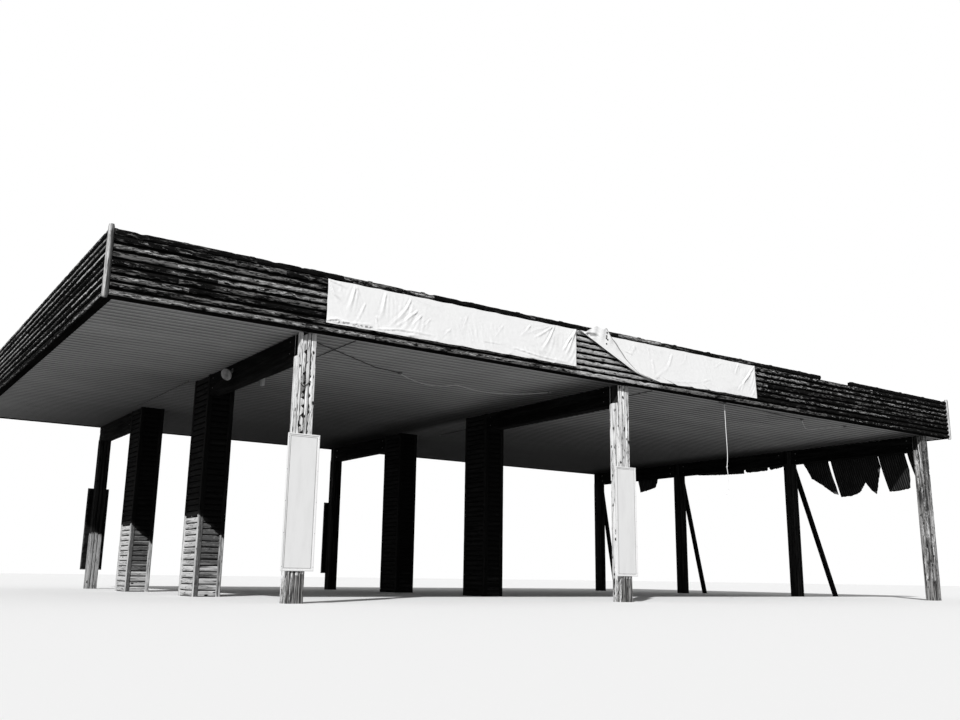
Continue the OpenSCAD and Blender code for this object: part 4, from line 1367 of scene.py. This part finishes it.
def addLamp(shape, top):
    base, tall, jar, long = (lampLook[word] for word in ("base", "baseHeight", "jar", "jarLength"))
    profile = [
        (-0.012, base * 0.98), (0.012, base), (0.02, base * 0.97), (0.03, base * 0.72),
        (tall - 0.006, base * 0.7), (tall, base * 0.66), (tall + 0.018, jar * 1.02), (tall + 0.02, jar * 0.8),
    ]
    addLathe(shape, top, -skyward, east, profile, 24)
    glass = [(tall + 0.012, jar * 0.86)]
    for i in range(9):
        t = i / 8
        radius = jar * (0.9 + 0.03 * math.cos(t * 22)) * (1 - 0.16 * t ** 3)
        glass.append((tall + 0.02 + (long - 0.03) * t, radius))
    glass += [(tall + long - 0.004, jar * 0.5), (tall + long, jar * 0.12)]
    addLathe(shape, top, -skyward, east, glass, 24, skin=1)
    for k in range(4):
        a = math.pi / 4 + k * math.pi / 2
        side = Vector((math.cos(a), math.sin(a), 0))
        line = [top + side * r - skyward * z for z, r in (
            (tall + 0.01, jar * 0.96), (tall + 0.06, jar * 1.0), (tall + long * 0.6, jar * 1.0),
            (tall + long * 0.93, jar * 0.85), (tall + long - 0.002, jar * 0.3),
        )]
        addTube(shape, smoothRoute(line, 3), 0.0022, 6, skin=2)


makeLamps()

# Roof covering: lapped strips of felt between the fascia's upstands
felt = {"strip": 1.0, "lap": 0.09, "thick": 0.006, "ripple": 0.0022, "wander": 0.01, "tilt": 0.0035}


def makeRoof():
    low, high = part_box("roof_deck")
    shape = newShape(91)
    rng = shape["random"]
    slab = boxSection(high.z - low.z - 2 * felt["thick"], high.y - low.y, 0.004)
    addLoft(shape, (Vector(low), east, skyward, north), high.x - low.x, 4.0, slab)
    count = math.ceil((high.y - low.y) / (felt["strip"] - felt["lap"]))
    step = (high.y - low.y - felt["strip"]) / (count - 1)
    for k in range(count):
        seed = rng.uniform(0, 90)
        wide = felt["strip"]
        section = [(0.0, 0.0), (0.0, wide), (felt["thick"], wide)]
        section += [(felt["thick"] + 0.001 * math.sin(j), wide * (1 - j / 8)) for j in range(1, 8)]
        section += [(felt["thick"], 0.0)]

        def bend(s, p, q, seed=seed, wide=wide):
            ripple = felt["ripple"] * (1 + noise.noise((s * 2.1, q * 3.0, seed)))
            edgeWander = felt["wander"] * noise.noise((s * 1.4, seed, q)) if q in (0.0, wide) else 0.0
            slope = felt["tilt"] * (q / wide)
            clean = 1.0 if 0.1 * wide < q < 0.9 * wide else 0.0
            return s, (p + ripple if p > 0 else 0.0) + slope, min(max(q + edgeWander, 0.0), wide), clean

        start = Vector((low.x, low.y + k * step, high.z - 0.013))
        place = (start, east, skyward, north)
        addLoft(shape, place, high.x - low.x, 0.16, section, (rng.random(), 0.5), bend)
    finishShape(shape, "roof_felt_strips", finish["roofFelt"], ("roof_deck",), smooth=30)


makeRoof()

# Bare sign boards: a panel, a raised strip round it, a fine bead inside and screws
board = {
    "panel": 0.018, "rim": 0.025, "proud": 0.008, "bead": 0.048, "beadWidth": 0.005, "beadHeight": 0.0045,
    "dirtyRim": 0.09, "columns": 12, "rows": 40,
    "screwPlaces": (0.03, 0.27, 0.5, 0.73, 0.97),  # shares of the height
    "screwProfile": [(0, 0.007), (0.002, 0.0065), (0.003, 0.004), (0.0032, 0.001)],
}


def boardSides(base, across, wide, tall, inset, width, cut):
    # The four strips of a frame on a board, each with its start, two directions and length
    upright = tall - 2 * inset - 2 * cut
    yield base + across * inset + skyward * inset, across, skyward, wide - 2 * inset
    yield base + across * inset + skyward * (tall - inset - width), across, skyward, wide - 2 * inset
    yield base + across * inset + skyward * (inset + cut), skyward, across, upright
    yield base + across * (wide - inset - width) + skyward * (inset + cut), skyward, across, upright


def makeBoard(node, seed):
    low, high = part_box(node)
    shape = newShape(seed)
    front = node.endswith("front_board")
    out = -north if front else north
    across = -east if front else east
    corner = Vector((high.x if front else low.x, high.y if front else low.y, low.z))
    wide, tall = high.x - low.x, high.z - low.z
    addPanel(shape, (corner, across, out, skyward), wide, tall)
    rim, proud, base = board["rim"], board["proud"], corner + out * (board["panel"] - 0.002)
    strip = boxSection(proud + 0.002, rim, 0.003)
    for start, along, up, length in boardSides(base, across, wide, tall, 0.0, rim, rim):
        addLoft(shape, (start, along, out, up), length, 0.2, strip, (0.5, 0.3))
    inset, line = board["bead"], board["beadWidth"]
    bead = boxSection(board["beadHeight"], line, 0.001)
    for start, along, up, length in boardSides(base, across, wide, tall, inset, line, 0.0):
        addLoft(shape, (start, along, out, up), length, 0.1, bead, (0.5, 1.0), skin=1)
    for t in board["screwPlaces"]:
        for side in (rim / 2, wide - rim / 2):
            middle = base + out * proud + across * side + skyward * (tall * t)
            addLathe(shape, middle, out, skyward, board["screwProfile"], 8, skin=2)
    skins = [finish["boardPaint"], finish["steelPlate"], finish["steelPlate"], finish["beamWood"]]
    finishShape(shape, node + "_panel", skins, (node,))


def addPanel(shape, place, wide, tall):
    # The panel is a grid, so that its dirt can gather towards the rim
    corner, across, out, up = place
    columns, rows = board["columns"], board["rows"]
    first, layerSize = len(shape["points"]), (columns + 1) * (rows + 1)
    for layer in (0.0, board["panel"]):
        for j in range(rows + 1):
            for i in range(columns + 1):
                x, z = wide * i / columns, tall * j / rows
                bow = 0.0012 * noise.noise((x * 3, z * 1.5, corner.x)) if layer else 0.0
                rim = 1 - min(1.0, min(x, wide - x, z, tall - z) / board["dirtyRim"])
                deep = layer + bow - 0.001 * (layer > 0)
                addPoint(shape, corner + across * x + out * deep + up * z, (x, z), (0.5, rim, 1.0))
    addGrid(shape, columns, rows, first, 3)
    addGrid(shape, columns, rows, first + layerSize)
    rowSize = columns + 1
    border = [*range(rowSize), *(j * rowSize + columns for j in range(1, rows + 1))]
    border += [rows * rowSize + i for i in range(columns - 1, -1, -1)]
    border += [j * rowSize for j in range(rows - 1, 0, -1)]
    for k, a in enumerate(border):
        b = border[(k + 1) % len(border)]
        addFace(shape, (first + a, first + b, first + layerSize + b, first + layerSize + a))


boardNodes = ("left_front_board", "left_back_board", "middle_front_board", "middle_back_board")
for index, nodeName in enumerate(boardNodes):
    makeBoard(nodeName, 101 + index)

# Banners: creased cloth tied at its corners and edges
banner = {
    "cell": 0.02, "proud": 0.04, "billow": 0.008, "hem": 0.024, "crease": 1.25, "foldShade": 0.27,
    "scallop": 0.008,  # how far the edges draw in between their ties
    # Creases of the long banner: places on the front face (metres along it and up), width and height
    "longCreases": [
        ([(4.42, 5.72), (4.37, 5.48), (4.26, 5.23)], 0.05, 0.014),
        ([(4.44, 5.72), (4.6, 5.33)], 0.05, 0.009), ([(3.88, 5.75), (4.28, 5.66)], 0.03, 0.01),
        ([(5.07, 5.7), (5.02, 5.44), (4.93, 5.12)], 0.05, 0.013),
        ([(5.63, 5.7), (5.53, 5.47), (5.36, 5.26), (5.1, 5.0)], 0.045, 0.011),
        ([(5.78, 5.48), (5.45, 5.2), (5.2, 5.0)], 0.04, 0.012), ([(5.88, 5.4), (5.6, 5.12)], 0.03, 0.009),
        ([(6.09, 5.37), (5.86, 5.13)], 0.03, 0.007),
        ([(3.88, 4.97), (4.07, 5.03), (4.3, 4.98)], 0.03, 0.016),
        ([(4.0, 4.96), (4.4, 5.0), (4.85, 5.03)], 0.022, 0.014),
        ([(4.86, 4.97), (5.45, 5.04), (5.72, 5.05), (6.2, 5.04)], 0.025, 0.014),
        ([(4.88, 5.22), (4.92, 4.96)], 0.03, 0.01),
        ([(9.2, 5.75), (8.91, 5.56), (8.6, 5.37)], 0.03, 0.014),
        ([(9.2, 5.75), (9.07, 5.5), (8.84, 5.15)], 0.035, 0.013),
        ([(9.79, 5.75), (9.6, 5.49), (9.38, 5.2)], 0.03, 0.016),
        ([(9.79, 5.75), (9.65, 5.45), (9.5, 5.15)], 0.03, 0.014),
        ([(9.16, 5.74), (8.75, 5.6), (8.3, 5.4)], 0.03, 0.008),
        ([(8.55, 5.65), (8.25, 5.35)], 0.035, 0.009), ([(7.35, 5.11), (7.95, 5.14)], 0.02, 0.006),
        ([(8.1, 5.09), (8.85, 5.01), (9.79, 4.97)], 0.025, 0.011),
        ([(3.88, 5.72), (4.0, 5.49), (4.2, 5.39)], 0.035, 0.01),
        ([(4.64, 5.42), (4.5, 5.08)], 0.035, 0.009), ([(6.56, 5.25), (6.34, 5.05)], 0.03, 0.006),
        ([(7.83, 5.54), (7.58, 5.18)], 0.04, 0.006), ([(6.95, 5.6), (6.8, 5.2)], 0.05, 0.005),
    ],
    "looseCreases": [
        ([(11.55, 5.66), (11.38, 5.4)], 0.035, 0.012), ([(11.24, 5.5), (11.5, 5.45)], 0.025, 0.008),
        ([(12.08, 5.42), (12.13, 5.17), (12.12, 5.0)], 0.045, 0.012),
        ([(12.74, 5.64), (12.63, 5.38), (12.34, 5.03)], 0.045, 0.012),
        ([(11.96, 5.68), (12.0, 5.42)], 0.04, 0.009), ([(14.42, 5.66), (14.08, 5.45)], 0.025, 0.008),
        ([(15.08, 5.74), (14.91, 5.43)], 0.03, 0.012),
        ([(15.67, 5.75), (15.27, 5.32), (15.1, 4.98)], 0.035, 0.016),
        ([(15.48, 5.54), (14.94, 5.0)], 0.03, 0.013), ([(12.6, 4.97), (13.7, 5.08)], 0.02, 0.007),
        ([(13.78, 5.11), (14.06, 5.21)], 0.02, 0.008), ([(13.23, 5.7), (13.07, 5.42)], 0.05, 0.007),
        ([(12.14, 4.94), (12.5, 5.25)], 0.03, 0.01), ([(15.7, 4.97), (15.35, 5.2)], 0.03, 0.009),
    ],
    # The loose end: shares of the height, with where the rolled edge and the flap's free edge lie
    "foldLevels": (0.0, 0.05, 0.11, 0.17, 0.35, 0.46, 0.59, 0.76, 0.9, 1.0),
    "foldEdge": (2.14, 1.84, 1.6, 1.47, 1.13, 0.92, 0.67, 0.36, 0.09, -0.09),
    "flapEdge": (2.15, 1.9, 1.7, 1.6, 1.39, 1.27, 1.17, 1.03, 0.93, 0.72),
    # How high the gathered top of the flap stands above the banner, at places along it
    "gatherPlaces": (-0.09, 0.05, 0.15, 0.4, 0.51, 0.58, 0.68, 0.72, 0.84, 1.2),
    "gatherRise": (-0.05, -0.03, 0.04, 0.17, 0.15, 0.1, 0.17, 0.16, 0.0, 0.0),
    # A pocket where the gathered cloth gapes, painted dark inside as shade: its middle, half its width and
    # height, and its rise
    "pocket": (0.275, 0.776, 0.21, 0.047, 0.05),
    "eyelets": [(0.695, 0.89), (0.68, 0.81), (0.672, 0.76), (0.71, 0.73), (0.672, 0.63)],
    "eyeletProfile": [(-0.012, 0.017), (0.0, 0.017), (0.002, 0.014), (0.001, 0.006)],
    "looseTall": 0.98, "turnCells": 6, "flapCells": 26,  # share of the height, and cells across roll and flap
    "roll": 0.03, "gap": 0.004,  # how far the rolled edge bulges, and the cloth's distance from the logs
    "frames": 26, "slack": 1.009, "stiff": 25, "bend": 0.35, "ties": 10, "pressed": 0.75,
}


def between(value, places, levels):
    # Reads a value off a broken line
    for (p, a), (q, b) in zip(zip(places, levels), zip(places[1:], levels[1:])):
        if value <= q:
            return a + (b - a) * max(0.0, (value - p) / (q - p))
    return levels[-1]


def creaseRuns(creases, low):
    # The straight stretches of all the creases from the banner's corner, with their share of the way
    runs = []
    for number, (line, width, height) in enumerate(creases):
        points = [(x - (low.x - leftX), z - low.z) for x, z in line]
        steps = [math.dist(a, b) for a, b in zip(points, points[1:])]
        gone, total = 0.0, sum(steps)
        for (ax, az), (bx, bz), step in zip(points, points[1:], steps):
            way = ((bx - ax) / step, (bz - az) / step)
            runs.append((ax, az, *way, step, gone / total, step / total, width, height, number))
            gone += step
    return runs


def creaseHeight(x, z, runs):
    # How far the cloth stands out at a place: for each crease, what its nearest stretch gives
    best = {}
    for ax, az, dx, dz, step, gone, part, width, height, number in runs:
        far = (x - ax) * dx + (z - az) * dz
        held = min(max(far, 0.0), step)
        away = math.hypot(x - ax - dx * held, z - az - dz * held)
        if away < width * 4 and away < best.get(number, (9.0,))[0]:
            side = 1 if (x - ax) * dz - (z - az) * dx > 0 else -1
            best[number] = (away, side, gone + part * held / step, width, height)
    total, fold = 0.0, 0.0
    for number, (away, side, t, width, height) in best.items():
        away = away * side + 0.012 * noise.noise((t * 4.0, number * 3.1, 0.0))
        spread = width * (0.45 + 0.6 * t)
        fade = max(0.0, 1 - t) ** 0.6 * min(1.0, (t + 0.04) / 0.12)
        trough = math.exp(-((away - spread * 1.2) / (spread * 0.8)) ** 2)
        ridge = math.exp(-(away / spread) ** 2) - 0.6 * trough
        total += banner["crease"] * height * fade * ridge
        fold = max(fold, fade * math.exp(-((away - spread * 0.8) / (spread * 0.35)) ** 2))
    return total, fold


def crumple(x, z, seed):
    # Small dents and sharp little ridges that lean with the pull of the ties
    warp = 0.05 * noise.noise((x * 3.0, z * 3.0, seed + 5.0))
    lean = x + 0.55 * z + warp
    ridge = (1 - abs(noise.noise((lean * 6.5, z * 1.8, seed)))) ** 6
    fine = noise.noise((x * 14, z * 17, seed + 1.0))
    patch = 0.5 + noise.noise((x * 0.9, z * 1.6, seed + 2.0))
    return 0.006 * ridge * max(0.0, patch) + 0.002 * fine


def isTied(t):
    # Whether a share of the way along the lower hem lies at a tie
    return min(abs(t * banner["ties"] - k) for k in range(banner["ties"] + 1)) < 0.04


def hemDip(t):
    # The hem dips between its ties
    return abs(math.sin(math.pi * t)) ** 0.7


def makeLogWall(low, high):
    # A plain wavy wall in the place of the logs, for the cloth to lie against
    points, faces, steps = [], [], 8
    for course in range(fascia["courses"]):
        for k in range(steps):
            a = math.pi * (k / steps - 0.5)
            z = ceilingZ + coursePitch * (course + 0.5 + 0.5 * math.sin(a))
            y = frontY + 0.028 * (1 - math.cos(a) ** 0.8)
            points += [(low.x - 0.4, y, z), (high.x + 0.4, y, z)]
    for k in range(len(points) // 2 - 1):
        faces.append((2 * k, 2 * k + 1, 2 * k + 3, 2 * k + 2))
    mesh = bpy.data.meshes.new("logWall")
    mesh.from_pydata(points, [], faces)
    wall = bpy.data.objects.new("logWall", mesh)
    bpy.context.scene.collection.objects.link(wall)
    wall.modifiers.new("wall", "COLLISION")
    wall.collision.thickness_outer = 0.002
    return wall


def settleCloth(piece, pins, lifts, low, high):
    # Lets the cloth settle against the logs between its ties, then presses its old creases back in.
    # Its places on the texture give its cut.
    wall = makeLogWall(low, high)
    mesh = piece.data
    cut = [(0.0, 0.0)] * len(mesh.vertices)
    for loop, place in zip(mesh.loops, mesh.uv_layers[0].data):
        cut[loop.vertex_index] = place.uv[:]
    piece.shape_key_add(name="Basis")
    flat = piece.shape_key_add(name="cut")
    for point, (u, v) in zip(flat.data, cut):
        point.co = (u * banner["slack"], 0.0, v * banner["slack"])
    group = piece.vertex_groups.new(name="ties")
    group.add(pins, 1.0, "REPLACE")
    cloth = piece.modifiers.new("settle", "CLOTH")
    rules = cloth.settings
    rules.quality, rules.mass, rules.air_damping = 5, 0.3, 2
    rules.tension_stiffness = rules.compression_stiffness = banner["stiff"]
    rules.shear_stiffness, rules.bending_stiffness = 10, banner["bend"]
    rules.vertex_group_mass = "ties"
    rules.rest_shape_key = flat
    cloth.collision_settings.distance_min = 0.003
    cloth.collision_settings.use_self_collision = False
    cloth.point_cache.frame_end = banner["frames"]
    for number in range(1, banner["frames"] + 1):
        bpy.context.scene.frame_set(number)
    graph = bpy.context.evaluated_depsgraph_get()
    settled = bpy.data.meshes.new_from_object(
        piece.evaluated_get(graph), preserve_all_data_layers=True, depsgraph=graph,
    )
    piece.modifiers.clear()
    piece.shape_key_clear()
    piece.vertex_groups.clear()
    piece.data = settled
    for vertex, lift in zip(settled.vertices, lifts):
        vertex.co.y = min(vertex.co.y - lift * banner["pressed"], high.y - 0.003)
    settled.name = mesh.name
    bpy.data.meshes.remove(mesh)
    bpy.data.meshes.remove(wall.data)
    bpy.context.scene.frame_set(1)
    print("settled", piece.name)


def finishBanner(shape, node, pins, lifts, low, high):
    piece = finishShape(shape, node + "_cloth", finish["bannerCloth"], (node,), 180, False)
    settleCloth(piece, pins, lifts, low, high)
    return piece


def makeLongBanner():
    low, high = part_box("long_banner")
    long, tall = high.x - low.x, high.z - low.z
    columns, rows = round(long / banner["cell"]), round(tall / banner["cell"])
    runs = creaseRuns(banner["longCreases"], low)
    shape = newShape(111)
    pins, lifts = [], []
    for j in range(rows + 1):
        for i in range(columns + 1):
            t, v = i / columns, j / rows
            x, z = long * t, tall * v
            edge = banner["scallop"] * (hemDip(t * 11) if v > 0.5 else -hemDip(t * 9)) * abs(2 * v - 1) ** 6
            edge -= 0.006 * noise.noise((x * 3.1, v * 2, 4.0)) * abs(2 * v - 1) ** 4
            side = banner["scallop"] * hemDip(v * 2) * (1 - 2 * t) * abs(2 * t - 1) ** 20
            lift, fold = creaseHeight(x, z, runs)
            soft = banner["billow"] * (0.7 + noise.noise((x * 1.3, z * 2.1, 7.0)))
            rest = min(1.0, 8 * min(x, long - x, z, tall - z) + 0.35)
            lifts.append((lift + crumple(x, z, 3.0)) * rest)
            out = min(max(soft * rest + lifts[-1] + 0.003, 0.0), banner["proud"])
            # Painted shade beside each crease, and painted shadow in dashes under the lower hem
            dirt = banner["foldShade"] * fold
            if 0.02 < z < 0.07 and 0.2 < x < 1.0:
                dirt = max(dirt, 0.8 * smooth(noise.noise((x * 19, z * 30, 1.0)), -0.05, 0.2))
            point = Vector((low.x + x + side, high.y - out, low.z + z - edge))
            addPoint(shape, point, (x, z), (min(1.0, dirt), 0.5, 1.0))
            if j == rows or i in (0, columns) or j == 0 and isTied(t):
                pins.append(len(shape["points"]) - 1)
    addGrid(shape, columns, rows)
    piece = finishBanner(shape, "long_banner", pins, lifts, low, high)


def loosePlace(i, v, counts, long, tall, runs):
    # Where a point of the loose banner lies: metres along, up and out, its place on the cut, its painted
    # shade and dark hem, and how far a crease lifts it
    columns, turn, flapColumns = counts
    z = tall * v
    start = between(v, banner["foldLevels"], banner["foldEdge"])
    flap = between(v, banner["foldLevels"], banner["flapEdge"]) - start
    if i >= turn + flapColumns:
        # The cloth itself, from the rolled edge to the right end
        t = (i - turn - flapColumns) / columns
        x = start + (long + 0.04 * (1 - v) - start) * t
        lift, fold = creaseHeight(x, z, runs)
        soft = banner["billow"] * (0.7 + noise.noise((x * 1.3, z * 2.1, 17.0)))
        rest = min(1.0, 8 * min(long - x, z, tall - z) + 0.35)
        # The flap presses the cloth under it flat
        rest *= 1.0 if x > start + flap else 0.3
        lift = (lift + crumple(x, z, 13.0)) * rest
        out = banner["gap"] + min(max(soft * rest + lift, 0.0), banner["proud"])
        return x, z, out, x, banner["foldShade"] * fold, lift
    if i >= flapColumns:
        # The rolled edge, darkened on its turned side: painted shade
        share = (i - flapColumns) / turn
        a = math.pi * (i - flapColumns) / turn
        x = start - banner["roll"] * math.sin(a)
        out = banner["gap"] + 0.015 * (1 + math.cos(a))
        shade = min(1.0, 2.4 * math.sin(a)) * smooth(v, 0.0, 0.2)
        return x, z, out, start - banner["roll"] * (1 - share), shade, 0.0
    # The flap, lying back over the cloth towards the right, gathered and lifted at its top
    t = 1 - i / flapColumns
    x = start + flap * t
    gather = smooth(v, 0.62, 1.0)
    wavy = 0.006 * math.sin(5 * z + 3 * t) + 0.004 * noise.noise((x * 8, z * 6, 3.0))
    folds = 0.012 * gather * math.sin(26 * x - 9 * z)
    z += between(x, banner["gatherPlaces"], banner["gatherRise"]) * v ** 5
    middleX, middleZ, halfWide, halfTall, rise = banner["pocket"]
    away = math.hypot((x - middleX) / halfWide, (z - middleZ - rise * (x - middleX)) / halfTall)
    pocket = 1 - smooth(away, 0.6, 1.05)
    lip = math.exp(-((away - 1.2) / 0.25) ** 2)
    out = 0.028 + wavy * t + 0.012 * math.sin(math.pi * t) + folds - 0.016 * pocket + 0.008 * lip
    # A dark hem along the flap's free edge, partly binding and partly painted shadow, darker towards that
    # edge, and painted shade in the pocket
    hem = 0.8 * smooth(t, 1 - 2.2 * banner["hem"] / max(flap, 0.05), 1 - banner["hem"] / max(flap, 0.05))
    dirt = max(0.62 * pocket, hem, 0.1 * t * t)
    return x, z, min(out, 0.048), start - banner["roll"] - flap * t, dirt, 0.0


def makeLooseBanner():
    # The left end has come off: its lower corner is folded up over a rolled edge and gathered at the top
    low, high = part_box("loose_banner")
    long, tall = high.x - low.x, (high.z - low.z) * banner["looseTall"]
    columns, rows = round(long / banner["cell"]), round(tall / banner["cell"])
    counts = (columns, banner["turnCells"], banner["flapCells"])
    wide = sum(counts)
    runs = creaseRuns(banner["looseCreases"], low)
    shape = newShape(112)
    pins, lifts = [], []
    for j in range(rows + 1):
        v = j / rows
        for i in range(wide + 1):
            x, z, out, u, dirt, lift = loosePlace(i, v, counts, long, tall, runs)
            lifts.append(lift)
            share = x / long
            dip = hemDip(share * 9) if v > 0.5 else -hemDip(share * 8)
            sag = banner["scallop"] * dip * abs(2 * v - 1) ** 6
            point = Vector((low.x + x, high.y - out, low.z + z - sag))
            addPoint(shape, point, (u, tall * v), (min(1.0, dirt), 0.5, 1.0))
            if j == rows or i <= counts[1] + counts[2] + 1 or i == wide or j == 0 and isTied(share):
                pins.append(len(shape["points"]) - 1)
    addGrid(shape, wide, rows)
    piece = finishBanner(shape, "loose_banner", pins, lifts, low, high)
    area = sum(polygon.area for polygon in piece.data.polygons)
    print("loose banner area", round(area, 3), "of", round(tall * long, 3))


def makeEyelets():
    # Metal eyelets along the loose end
    low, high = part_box("loose_banner")
    shape = newShape(113)
    for x, z in banner["eyelets"]:
        middle = Vector((low.x + x, high.y - 0.05, low.z + z))
        addLathe(shape, middle, -north, skyward, banner["eyeletProfile"], 14)
    finishShape(shape, "loose_banner_eyelets", finish["darkConduit"])


makeLongBanner()
makeLooseBanner()
makeEyelets()

# Torn corrugated sheets on the outer side of the end beam
torn = {
    "wave": 0.076, "deep": 0.017, "gauge": 0.0016, "cell": 0.0127, "rows": 26, "top": 0.33, "lean": 0.2,
    # Outlines of the torn edges: places along the depth and heights, from the back to the front
    "front": [
        [(4.64, 4.42), (4.5, 4.1), (4.42, 3.8), (4.12, 3.58), (3.8, 3.26), (3.66, 3.22), (3.63, 3.5)],
        [
            (3.55, 3.14), (3.2, 3.15), (2.98, 3.2), (2.82, 3.27), (2.68, 3.4), (2.54, 3.53), (2.45, 3.3),
            (2.34, 3.16), (2.2, 3.35), (1.98, 3.75), (1.86, 3.98),
        ],
        [(1.84, 3.2), (1.54, 3.21), (1.21, 3.24), (1.1, 3.27), (1.03, 3.5), (0.96, 3.8)],
        [(0.88, 4.1), (0.82, 3.5), (0.76, 3.33), (0.66, 3.5)],
    ],
    "band": [
        [(9.84, 4.34), (9.65, 4.33), (9.45, 4.36), (9.16, 4.28), (8.2, 4.22), (7.07, 4.18)],
        [(7.02, 4.26), (6.92, 4.2), (6.05, 4.21)],
        [(5.98, 4.25), (5.92, 4.22), (5.34, 4.28), (5.2, 4.25)],
    ],
    "back": [
        [(12.42, 4.42), (12.36, 4.1), (12.33, 3.85), (11.9, 3.9), (11.46, 3.99), (11.34, 4.2), (11.28, 4.4)],
    ],
    # Bent tips with a painted highlight: place along the depth, height and size
    "tips": [(3.74, 3.24, 0.07), (1.94, 3.86, 0.05), (2.36, 3.2, 0.03)],
}


def edgeAt(outline, y):
    # Height of the torn edge at a place, from an outline that runs from the back to the front
    for (y0, z0), (y1, z1) in zip(outline, outline[1:]):
        if min(y0, y1) <= y <= max(y0, y1) and y0 != y1:
            return z0 + (z1 - z0) * (y - y0) / (y1 - y0)
    return outline[0][1] if y > outline[0][0] else outline[-1][1]


def addTornSheet(shape, outline, beamSide, beamBottom, seed, curl, lean):
    ys = [y for y, _ in outline]
    yLow, yHigh = min(ys), max(ys)
    columns = max(4, round((yHigh - yLow) / torn["cell"]))
    rows = torn["rows"]
    first = len(shape["points"])
    top = beamBottom + torn["top"]
    for i in range(columns + 1):
        y = yLow + (yHigh - yLow) * i / columns
        largeTeeth = 0.016 * noise.noise((y * 16, seed, 0))
        smallTeeth = 0.008 * noise.noise((y * 55, seed, 2))
        bottom = edgeAt(outline, y) + largeTeeth + smallTeeth
        crest = 0.5 - 0.5 * math.cos(2 * math.pi * y / torn["wave"])
        wave = torn["deep"] * crest
        for j in range(rows + 1):
            t = j / rows
            z = top + (bottom - top) * t
            below = max(0.0, beamBottom - 0.05 - z)
            share = (y - yLow) / (yHigh - yLow)
            swing = curl[0] * below ** 1.6 + curl[1] * below ** 2.4 * (share - 0.5) * 2
            flutter = 0.02 * below * noise.noise((y * 2.6, z * 2.2, seed))
            drift = 0.05 * below ** 2 * noise.noise((seed, z * 1.1, 4.0))
            slant = -lean * max(0.0, beamBottom - z)
            # Painted highlight on the bent tips; the crest mark gives painted highlight on the crests
            tips = [1.4 - math.hypot(y - tipY, z - tipZ) / size for tipY, tipZ, size in torn["tips"]]
            bright = min(1.0, max(0.0, *tips)) if lean else 0.0
            point = Vector((beamSide + 0.002 + wave + swing + flutter, frontY + y + drift + slant, z))
            addPoint(shape, point, (z, y), (crest ** 2, bright, 1.0))
    addGrid(shape, rows, columns, first)


def makeTornSheets(name, node, outlines, curls, seed, lean=0.0):
    shape = newShape(seed)
    beamLow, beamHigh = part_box("end_beam")
    for index, outline in enumerate(outlines):
        curl = curls[index % len(curls)]
        addTornSheet(shape, outline, beamHigh.x, beamLow.z, seed + index * 7.3, curl, lean)
    piece = finishShape(shape, name, finish["tornMetal"], (node,), 50, False)
    solid = piece.modifiers.new("gauge", "SOLIDIFY")
    solid.thickness, solid.offset = torn["gauge"], 0


frontCurls = [(0.1, -0.06), (0.12, -0.05), (0.08, 0.03), (0.05, 0.02)]
makeTornSheets("front_corrugated_sheets", "front_torn_sheets", torn["front"], frontCurls, 121, torn["lean"])
makeTornSheets("corrugated_band", "torn_band", torn["band"], [(0.02, 0.0)], 131)
makeTornSheets("back_corrugated_sheet", "back_torn_sheet", torn["back"], [(0.1, 0.08)], 137)

# The frames and the trusses keep their own solids and get sawn wood, near black: painted shade on the
# fascia's underside


def dressNode(name, material):
    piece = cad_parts[name]
    for slot in piece.material_slots:
        slot.material = material


def objectWood(name, dark, mid, along):
    # Sawn wood on plain members, with its grain along one axis of the frame, kept near black as painted shade
    material, tree, shader = openMaterial(name, {"Specular IOR Level": 0.0})
    spot = objectSpace(tree)
    scale = [55.0, 55.0, 55.0]
    scale[along] = 1.6
    grain = noiseOf(tree, stretch(tree, spot, tuple(scale)), 1.0, 5.0, 0.6, 0.3)
    blotch = noiseOf(tree, spot, 1.3, 4.0, 0.6)
    lean = addUp(tree, (grain, 0.6), (blotch, 0.5))
    colour = mixColour(tree, remap(tree, lean, 0.4, 0.75), grey(dark, 0.04), grey(mid, 0.04))
    finishTree(tree, shader, colour, remap(tree, blotch, 0.3, 0.7, 0.95, 0.8), grain, 0.004, 0.7)
    return material


acrossWood = objectWood("sawnAcross", 0.003, 0.012, 0)
deepWood = objectWood("sawnDeep", 0.003, 0.012, 1)
for nodeName in ("front_frame", "back_frame"):
    dressNode(nodeName, acrossWood)
for nodeName in ("left_frame", "right_frame", "roof_trusses"):
    dressNode(nodeName, deepWood)

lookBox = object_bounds()
for label, box in (("cad box", cadBox), ("visual box", lookBox)):
    print(label, [[round(value, 3) for value in corner] for corner in box])
